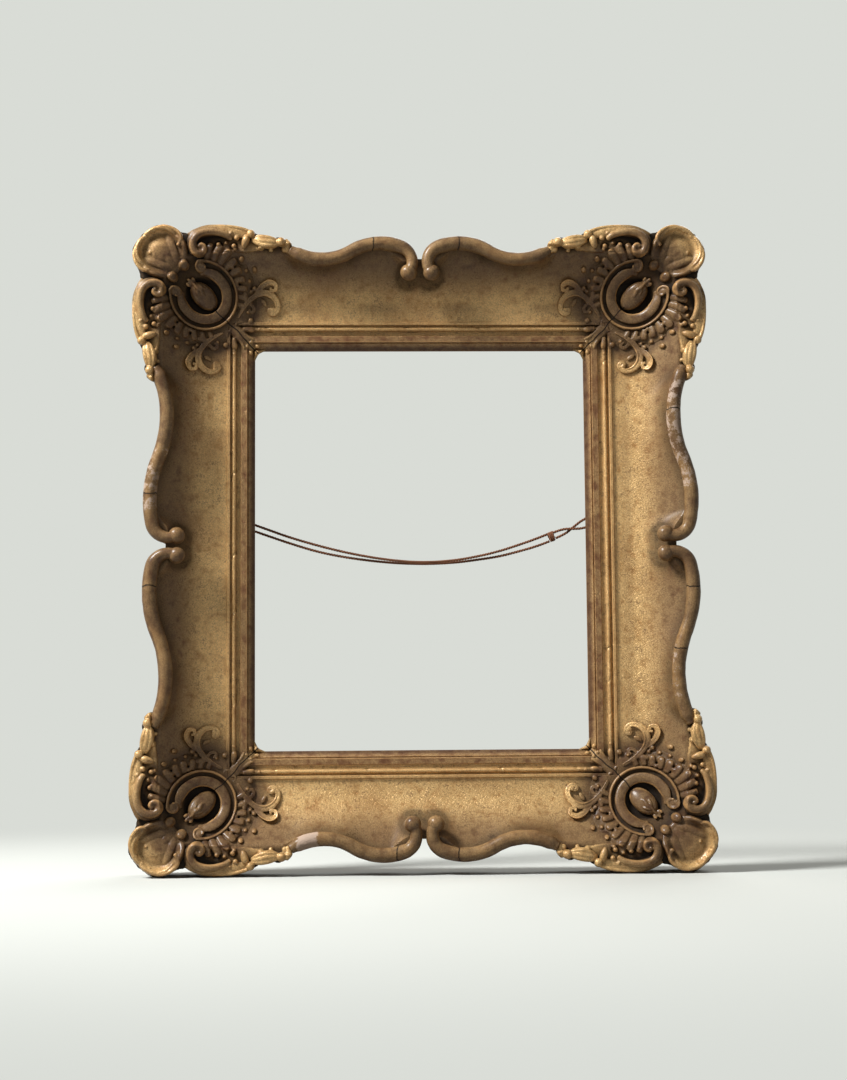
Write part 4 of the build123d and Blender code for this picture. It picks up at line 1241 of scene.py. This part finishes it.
def wash():
    """Yellow ochre size brushed over gesso, as frame makers put on the sides."""
    # The eye sees a flat, chalky brown yellow, rubbed and grimed by handling
    c = bpy.context.scene.frame_colours
    material, tree, place = new_material("ochre_wash_on_gesso")
    grime = add(tree, "TexNoise", {"Vector": place, "Scale": 1 / 0.022, "Detail": 6.0})
    brush = add(tree, "TexNoise", {"Vector": place, "Scale": 1 / 0.0016, "Detail": 3.0})
    tone = add(tree, "ValToRGB", {"Fac": grime}, stops=((0.34, c.umber), (0.62, c.wash)))
    fleck = add(tree, "MapRange", {0: brush, 1: 0.56, 2: 0.72, 3: 0.0, 4: 0.5})
    skin = add(tree, "Mix", {0: fleck, 6: tone, 7: c.umber}, data_type="RGBA")
    end_material(tree, brush, 0.3, 0.0003, {"Base Color": skin, "Roughness": 0.75})
    return material


def pine(name, grain):
    """Old sawn pine with its grain lines stretched along one axis."""
    # The eye sees dry brown wood without a shine, with fine dark lines 4 mm apart and damp stains
    c = bpy.context.scene.frame_colours
    material, tree, place = new_material(name)
    stretch = add(tree, "Mapping", {"Vector": place, "Scale": grain})
    rings = add(tree, "TexNoise", {"Vector": stretch, "Scale": 1 / 0.004, "Detail": 5.0, "Distortion": 0.4})
    tone = add(tree, "ValToRGB", {"Fac": rings}, stops=((0.3, linear("5f3f24")), (0.7, c.pine)))
    stain = add(tree, "TexNoise", {"Vector": place, "Scale": 1 / 0.05, "Detail": 3.0})
    dark = add(tree, "MapRange", {0: stain, 1: 0.45, 2: 0.75, 3: 0.0, 4: 0.6})
    skin = add(tree, "Mix", {0: dark, 6: tone, 7: linear("3b281a")}, data_type="RGBA")
    end_material(tree, rings, 0.3, 0.0004, {"Base Color": skin, "Roughness": 0.8})
    return material


def twine():
    """Old laid hemp, dry and fibrous, browned by rust and dust."""
    # The eye sees a matt red brown cord with stains of 9 mm and pale flecks of fibre of 0.6 mm, which
    # on real hemp are finer and wouldn't show
    c = bpy.context.scene.frame_colours
    material, tree, place = new_material("old_hemp_twine")
    fibre = add(tree, "TexNoise", {"Vector": place, "Scale": 1 / 0.0006, "Detail": 4.0})
    stain = add(tree, "TexNoise", {"Vector": place, "Scale": 1 / 0.009, "Detail": 4.0})
    tone = add(tree, "ValToRGB", {"Fac": stain}, stops=((0.35, linear("35180f")), (0.65, c.twine)))
    skin = add(tree, "Mix", {0: fibre, 6: tone, 7: linear("9c6a4a")}, data_type="RGBA")
    end_material(tree, fibre, 0.5, 0.0002, {"Base Color": skin, "Roughness": 0.9})
    return material


def tarnished(name, base, stain, roughness):
    """Drawn or cast metal gone dull, with darker tarnish in patches."""
    # The eye sees a soft metal shine, broken by matt dark patches of about 3 mm
    material, tree, place = new_material(name)
    patch = add(tree, "TexNoise", {"Vector": place, "Scale": 1 / 0.003, "Detail": 5.0})
    amount = add(tree, "MapRange", {0: patch, 1: 0.42, 2: 0.68, 3: 0.0, 4: 0.9})
    skin = add(tree, "Mix", {0: amount, 6: base, 7: linear(stain)}, data_type="RGBA")
    rough = add(tree, "MapRange", {0: amount, 1: 0.0, 2: 1.0, 3: roughness, 4: min(roughness + 0.35, 1)})
    end_material(tree, patch, 0.2, 0.0001, {"Base Color": skin, "Metallic": 1.0, "Roughness": rough})
    return material


FINISHES = {}


def finishes():
    """The materials, made once."""
    c = bpy.context.scene.frame_colours
    if not FINISHES:
        FINISHES.update({
            "gilding": gilding(), "wash": wash(), "twine": twine(),
            "pine_up": pine("oxidised_pine_upright", (1, 1, 0.12)),
            "pine_across": pine("oxidised_pine_level", (0.12, 1, 1)),
            "steel": tarnished("tarnished_steel_wire", c.steel, "3a2a20", 0.42),
            "brass": tarnished("tarnished_brass_sheet", c.brass, "4d3a1c", 0.38),
        })
    return FINISHES


# What the patina and painted light say of each point: how hollow, proud, aged, red and bare of gold it is.
# Hollows and the rails' outer cove are darkened partly as painted shade, and crests lightened partly as a
# painted highlight
PATINA_AND_PAINTED_LIGHT = ("hollow", "crest", "aged", "red", "bare")
# The relief map that the patina is read from, with its margin and the least height that counts
MAP_CELL = 0.7
MAP_MARGIN = 8
LEAST_RELIEF = 5
NO_RELIEF = -1e3
BROAD_BLUR = 3.6
FINE_BLUR = 1.1
# How far below its surroundings a point begins to be hollow and how much deeper it is wholly so, and
# how far above them it is wholly a crest
HOLLOW_START = 0.1
HOLLOW_DEPTH = 2.9
CREST_HEIGHT = 0.7
# Zones in which the toning ends round the horseshoe's centre and begins across a rail, where it is also
# painted shade under the rim, and in which the step's red begins and ends and that of the sight edge ends
ORNAMENT_ZONE = (38, 54)
OUTER_ZONE = (33, 60)
STEP_START_ZONE = (4.3, 5.2)
STEP_END_ZONE = (9.8, 10.4)
SIGHT_ZONE = (4.0, 4.6)
# The half widths of the cracks along the mitres and across the sweeps
MITRE_CRACK = 0.34
SWEEP_CRACK = 0.3
MITRE_CRACK_SPAN = (-2.5, 29.5)
# Where the sweeps have cracked across: the side, and the place along it
SWEEP_CRACKS = (("top", -34.0), ("top", 28.0), ("bottom", -19.0), ("bottom", 24.0), ("left", 37.0),
                ("left", -29.0), ("right", 97.0), ("right", -31.0), ("right", -75.0))
# Where a sweep's gilding is worn to the gesso: the side, from and to, and how much
WORN_SWEEPS = (("right", 40.0, 118.0, 0.55), ("left", 24.0, 70.0, 0.50), ("right", -112.0, -74.0, 0.34),
               ("bottom", -86.0, -78.0, 1.5), ("top", -60.0, 60.0, 0.18), ("bottom", 20.0, 90.0, 0.22))


def blurred(values, known, sigma):
    """A Gaussian blur of what is known on a grid, with sigma in millimetres."""
    fy = np.fft.fftfreq(values.shape[0], MAP_CELL)[:, None]
    fx = np.fft.rfftfreq(values.shape[1], MAP_CELL)[None, :]
    window = np.exp(-2 * (math.pi * sigma) ** 2 * (fx ** 2 + fy ** 2))
    top = np.fft.irfft2(np.fft.rfft2(np.where(known, values, 0)) * window, values.shape)
    below = np.fft.irfft2(np.fft.rfft2(known.astype(float)) * window, values.shape)
    return top / np.maximum(below, 1e-3)


def read_map(values, places):
    """The values of a map between its cells, at places in cells."""
    i, j = (np.floor(places - 0.5).astype(int)).T
    a, b = (places - 0.5 - np.floor(places - 0.5)).T
    return (values[i, j] * (1 - a) * (1 - b) + values[i + 1, j] * a * (1 - b)
            + values[i, j + 1] * (1 - a) * b + values[i + 1, j + 1] * a * b)


def relief_map(places, low, size):
    """The greatest height over the back in each cell of the frame, with small gaps closed."""
    relief = np.full(size, NO_RELIEF)
    for points in places.values():
        i, j = ((points[:, :2] - low) / MAP_CELL).astype(int).T
        np.maximum.at(relief, (i, j), points[:, 2])
    for _ in range(2):
        wide = np.pad(relief, 1, constant_values=NO_RELIEF)
        near = np.max([wide[1 + a:1 + a + size[0], 1 + b:1 + b + size[1]]
                       for a in (-1, 0, 1) for b in (-1, 0, 1)], axis=0)
        relief = np.where(relief == NO_RELIEF, near, relief)
    return relief


def mitre_crack(points):
    """How deep in the crack along a corner's mitre each point lies, 0 to 1."""
    u, v = np.abs(points[:, 0]) - HALF_WIDTH, np.abs(points[:, 1]) - HALF_HEIGHT
    out, off = (u + v) / 2, (u - v) / math.sqrt(2)
    seed = (points[:, 0] > 0) * 2.0 + (points[:, 1] > 0)
    stray = 0.6 * np.sin(out / 4.1 + seed * 1.7) + 0.25 * np.sin(out / 1.3 + seed)
    stray *= smooth_step(1, 6, out)
    low, high = MITRE_CRACK_SPAN
    return np.clip(1.5 - np.abs(off - stray) / MITRE_CRACK, 0, 1) * (out > low) * (out < high)


def sweep_wear(name, points):
    """How cracked and how bare of gold each point of a sweep is."""
    side = name.split("_")[2]
    along = points[:, 0] if side in ("top", "bottom") else points[:, 1]
    cracked, bare = np.zeros(len(points)), np.full(len(points), 0.12)
    for at, place in SWEEP_CRACKS:
        if at == side:
            stray = 0.5 * np.sin(points[:, 2] * 0.9 + place)
            cracked = np.maximum(cracked, np.clip(1.5 - np.abs(along - place - stray) / SWEEP_CRACK, 0, 1))
    for at, low, high, amount in WORN_SWEEPS:
        if at == side:
            zone = smooth_step(low - 9, low + 5, along) * (1 - smooth_step(high - 5, high + 9, along))
            bare = np.maximum(bare, amount * zone)
    return cracked, bare


def gilded_patina_and_painted_light(piece, points, facing, u, v, recess, proud, edge):
    """The patina and painted light of each point of a piece, from its place over the back, how far it looks
    to the front, its place from the sight corner, and how recessed, proud and well inside the frame it is."""
    across = np.maximum(u, v)
    ornament = 1 - smooth_step(*ORNAMENT_ZONE, np.hypot(u - HORSESHOE[0], v - HORSESHOE[1]))
    side = (1 - smooth_step(0.80, 0.99, edge)) * (1 - smooth_step(-0.1, 0.5, facing))
    # Recessed points go towards soot: dirt and also painted shade
    hollow = np.clip((recess - HOLLOW_START) / HOLLOW_DEPTH, 0, 1) * (1 - 0.9 * side)
    # Proud points take the lighter rubbed gold: wear and also a painted highlight
    crest = np.clip(proud / CREST_HEIGHT, 0, 1)
    aged = np.maximum(ornament, side)
    cracked, bare, red = np.zeros(len(points)), np.zeros(len(points)), np.zeros(len(points))
    if piece.name.startswith("gilded_sweep"):
        cracked, bare = sweep_wear(piece.name, points)
        flank = 1 - smooth_step(0.66, 0.86, edge)
        dirt = 0.5 + 0.5 * wander(points @ (0.7, 0.9, 0.5), 9, 5)
        aged = np.maximum(aged, 0.8 + 0.2 * np.maximum(flank, dirt))
        # A sweep's outer flank is darkened with the soot colour as well
        hollow = np.maximum(hollow, 0.55 * flank * (1 - side))
        crest *= 0.5 * (1 - flank) * (1 - 0.6 * dirt)
    elif "scrolls" not in piece.name and "sprigs" not in piece.name:
        cracked = mitre_crack(points)
    if piece.name.startswith("gilded_rail"):
        hollow *= 0.55
        # The outer cove is toned darker towards the rim: toning and also painted shade under the rim and
        # sweeps
        aged = np.maximum(aged, 0.88 * smooth_step(*OUTER_ZONE, across))
        red = smooth_step(*STEP_START_ZONE, across) * (1 - smooth_step(*STEP_END_ZONE, across)) \
            + 0.8 * (1 - smooth_step(*SIGHT_ZONE, across))
    return np.maximum(hollow, cracked * 1.6), crest, aged, red * (1 - ornament * 0.5), bare


def spread_patina_and_painted_light():
    """Writes the patina, with its painted shade and painted highlights, on every gilded piece."""
    pieces = [o for o in bpy.data.objects if o.get("gilded")]
    if not pieces:
        raise RuntimeError("the gilded pieces are made before their patina")
    places = {piece: read_vectors(piece.data.vertices, "co")[:, [0, 2, 1]] * (1 / MM, 1 / MM, -1 / MM)
              for piece in pieces}
    low = np.array([cad_low[0], cad_low[2]]) / MM - MAP_MARGIN
    high = np.array([cad_high[0], cad_high[2]]) / MM + MAP_MARGIN
    size = tuple(((high - low) / MAP_CELL).astype(int) + 2)
    relief = relief_map(places, low, size)
    known = relief > LEAST_RELIEF
    broad, fine = blurred(relief, known, BROAD_BLUR), blurred(relief, known, FINE_BLUR)
    covered = blurred(known.astype(float), np.ones(size, bool), BROAD_BLUR)
    for piece, points in places.items():
        cells = (points[:, :2] - low) / MAP_CELL
        u, v = np.abs(points[:, 0]) - HALF_WIDTH, np.abs(points[:, 1]) - HALF_HEIGHT
        facing = -read_vectors(piece.data.vertex_normals, "vector")[:, 1]
        layers = gilded_patina_and_painted_light(piece, points, facing, u, v, read_map(broad, cells) - points[:, 2],
                               points[:, 2] - read_map(fine, cells), read_map(covered, cells))
        for name, values in zip(PATINA_AND_PAINTED_LIGHT, layers):
            layer = piece.data.attributes.new(name, "FLOAT", "POINT")
            layer.data.foreach_set("value", values.astype(np.float32))


# The photograph's view: where the camera stands and aims, upright in metres, and its roll
CAMERA_PLACE = (-0.0429, -1.4295, -0.1391)
CAMERA_AIM = (0.0023, 0.0, 0.0074)
CAMERA_ROLL = -0.0079
CAMERA_LENS = 65.2
# The lamps: place, aim, side and power
LAMPS = {
    "key_softbox": ((-1.32, -0.70, 1.40), (0.04, -0.03, -0.05), 0.55, 68),
    "fill_softbox": ((0.7, -1.8, 0.2), (0, 0, 0), 1.6, 0.8),
    "rim_softbox": ((0.5, 1.4, 1.2), (0, 0, 0), 1.2, 14),
}
FLOOR_REACH = 12.0
FLOOR_GAP = 0.0005
# Between these distances from the middle the floor fades into the backdrop
FADE_START = 0.26
FADE_END = 0.95


def aimed(name, data, place, aim, roll=0.0):
    """An object in the scene that stands at a place and looks at another."""
    made = bpy.data.objects.new(name, data)
    bpy.context.scene.collection.objects.link(made)
    made.location = place
    made.rotation_mode = "QUATERNION"
    look = (Vector(aim) - Vector(place)).to_track_quat("-Z", "Y")
    made.rotation_quaternion = look @ Quaternion((0, 0, 1), roll)
    return made


def looking_rays(tree):
    """1 for a ray of the camera, a glossy one and one through glass, and 0 for those that light."""
    path = add(tree, "LightPath").outputs
    looking = add(tree, "Math", {0: path["Is Camera Ray"], 1: path["Is Glossy Ray"]}, operation="MAXIMUM")
    return add(tree, "Math", {0: looking, 1: path["Is Transmission Ray"]}, operation="MAXIMUM")


def studio_floor():
    """A matt painted floor that turns into the backdrop further out."""
    # The eye sees a pale floor, and what it sends up onto the frame is that of a darker one
    c = bpy.context.scene.frame_colours
    material, tree, place = new_material("pale_studio_floor")
    looking = looking_rays(tree)
    tint = add(tree, "Mix", {0: looking, 6: linear("6e6a64"), 7: c.floor}, data_type="RGBA")
    near = add(tree, "BsdfPrincipled", {"Base Color": tint, "Roughness": 0.9})
    far = add(tree, "Emission", {"Color": c.floor, "Strength": 1.0})
    away = add(tree, "VectorMath", {0: place}, operation="LENGTH")
    fade = add(tree, "MapRange", {0: away, 1: FADE_START, 2: FADE_END, 3: 0.0, 4: 1.0},
               interpolation_type="SMOOTHSTEP")
    share = add(tree, "Math", {0: fade, 1: looking}, operation="MULTIPLY")
    shader = add(tree, "MixShader", {0: share, 1: near, 2: far})
    add(tree, "OutputMaterial", {"Surface": shader})
    return material


def make_floor():
    """The floor, just below the frame."""
    square = [(x * FLOOR_REACH, y * FLOOR_REACH, 0) for x, y in ((-1, -1), (1, -1), (1, 1), (-1, 1))]
    floor = bpy.data.objects.new("floor", mesh_of("floor", square, [(0, 1, 2, 3)]))
    floor.location = (0, 0, cad_low[2] - FLOOR_GAP)
    floor.data.materials.append(studio_floor())
    bpy.context.scene.collection.objects.link(floor)


def make_world():
    """A dim warm light all round, which looks like the pale backdrop."""
    scene = bpy.context.scene
    world = bpy.data.worlds.new("studio")
    world.use_nodes = True
    scene.world = world
    tree = world.node_tree
    tree.nodes.clear()
    dim = add(tree, "Background", {"Color": linear("fff0dc"), "Strength": 0.05})
    pale = add(tree, "Background", {"Color": scene.frame_colours.floor, "Strength": 1.0})
    mixed = add(tree, "MixShader", {0: looking_rays(tree), 1: dim, 2: pale})
    add(tree, "OutputWorld", {"Surface": mixed})


def make_stage():
    """The camera, a pale floor and soft studio light from the upper left."""
    scene = bpy.context.scene
    lens = bpy.data.cameras.new("camera")
    lens.lens = CAMERA_LENS
    scene.camera = aimed("camera", lens, CAMERA_PLACE, CAMERA_AIM, CAMERA_ROLL)
    make_floor()
    for name, (place, aim, side, watts) in LAMPS.items():
        lamp = bpy.data.lights.new(name, "AREA")
        lamp.shape = "SQUARE"
        lamp.size, lamp.energy = side, watts
        aimed(name, lamp, place, aim)
    make_world()
    scene.view_settings.view_transform = "Standard"


# The finish of each fitting, by how its name starts
FITTINGS = {"screw_eye": "steel", "mitre_nails": "steel", "turn_button": "brass", "button_screws": "brass",
            "mitre_keys": "pine_up"}


def dress_hardware():
    """Gives the metal and wooden fittings, whose shapes are right, their finishes."""
    for name, node in frame["nodes"].items():
        for start, finish in FITTINGS.items():
            if name.startswith(start):
                for place in node.material_slots:
                    place.material = finishes()[finish]


class FRAME_OT_stage(bpy.types.Operator):
    """Makes the camera, the floor and the studio light"""
    bl_idname = "gilded_frame.stage"
    bl_label = "Stage"

    def execute(self, context):
        make_stage()
        return {"FINISHED"}


class FRAME_OT_twine(bpy.types.Operator):
    """Makes the hanging cord with its loops and knots"""
    bl_idname = "gilded_frame.twine"
    bl_label = "Twine"

    def execute(self, context):
        make_twine()
        return {"FINISHED"}


class FRAME_OT_rails(bpy.types.Operator):
    """Makes the four gilded rails"""
    bl_idname = "gilded_frame.rails"
    bl_label = "Rails"

    def execute(self, context):
        make_rails()
        return {"FINISHED"}


class FRAME_OT_sweeps(bpy.types.Operator):
    """Makes the eight wavy bars with their balls"""
    bl_idname = "gilded_frame.sweeps"
    bl_label = "Sweeps"

    def execute(self, context):
        make_sweeps()
        return {"FINISHED"}


class FRAME_OT_corners(bpy.types.Operator):
    """Makes the ornament of the four corners"""
    bl_idname = "gilded_frame.corners"
    bl_label = "Corner ornament"

    def execute(self, context):
        make_corners()
        return {"FINISHED"}


class FRAME_OT_hardware(bpy.types.Operator):
    """Finishes the screw eyes, turn buttons, screws, keys and nails"""
    bl_idname = "gilded_frame.hardware"
    bl_label = "Hardware"

    def execute(self, context):
        dress_hardware()
        return {"FINISHED"}


class FRAME_OT_patina_and_painted_light(bpy.types.Operator):
    """Marks the hollows and crests that the gilding's wear, dirt, painted shade and painted highlights
    follow
    """
    bl_idname = "gilded_frame.patina"
    bl_label = "Patina"

    def execute(self, context):
        spread_patina_and_painted_light()
        return {"FINISHED"}


class FRAME_PT_panel(bpy.types.Panel):
    """Lists the steps that build the frame"""
    bl_idname = "FRAME_PT_panel"
    bl_label = "Gilded frame"
    bl_space_type = "VIEW_3D"
    bl_region_type = "UI"
    bl_category = "Gilded frame"

    def draw(self, context):
        for step in OPERATORS:
            self.layout.operator(step.bl_idname)
        for group in (context.scene.frame_sizes, context.scene.frame_colours):
            for name in group.__annotations__:
                self.layout.prop(group, name)


OPERATORS = (FRAME_OT_stage, FRAME_OT_twine, FRAME_OT_rails, FRAME_OT_sweeps, FRAME_OT_corners,
             FRAME_OT_hardware, FRAME_OT_patina_and_painted_light)
CLASSES = (FrameSizes, FrameColours, *OPERATORS, FRAME_PT_panel)


def register():
    """Registers the classes and the scene's sizes and colours."""
    for one in CLASSES:
        bpy.utils.register_class(one)
    bpy.types.Scene.frame_sizes = PointerProperty(type=FrameSizes)
    bpy.types.Scene.frame_colours = PointerProperty(type=FrameColours)


def unregister():
    """Takes the classes and the properties away again."""
    del bpy.types.Scene.frame_colours
    del bpy.types.Scene.frame_sizes
    for one in reversed(CLASSES):
        bpy.utils.unregister_class(one)


def main():
    """Builds the whole dressed frame."""
    register()
    bpy.ops.gilded_frame.stage()
    bpy.ops.gilded_frame.twine()
    bpy.ops.gilded_frame.rails()
    bpy.ops.gilded_frame.sweeps()
    bpy.ops.gilded_frame.corners()
    bpy.ops.gilded_frame.hardware()
    bpy.ops.gilded_frame.patina()


if __name__ == "__main__":
    main()
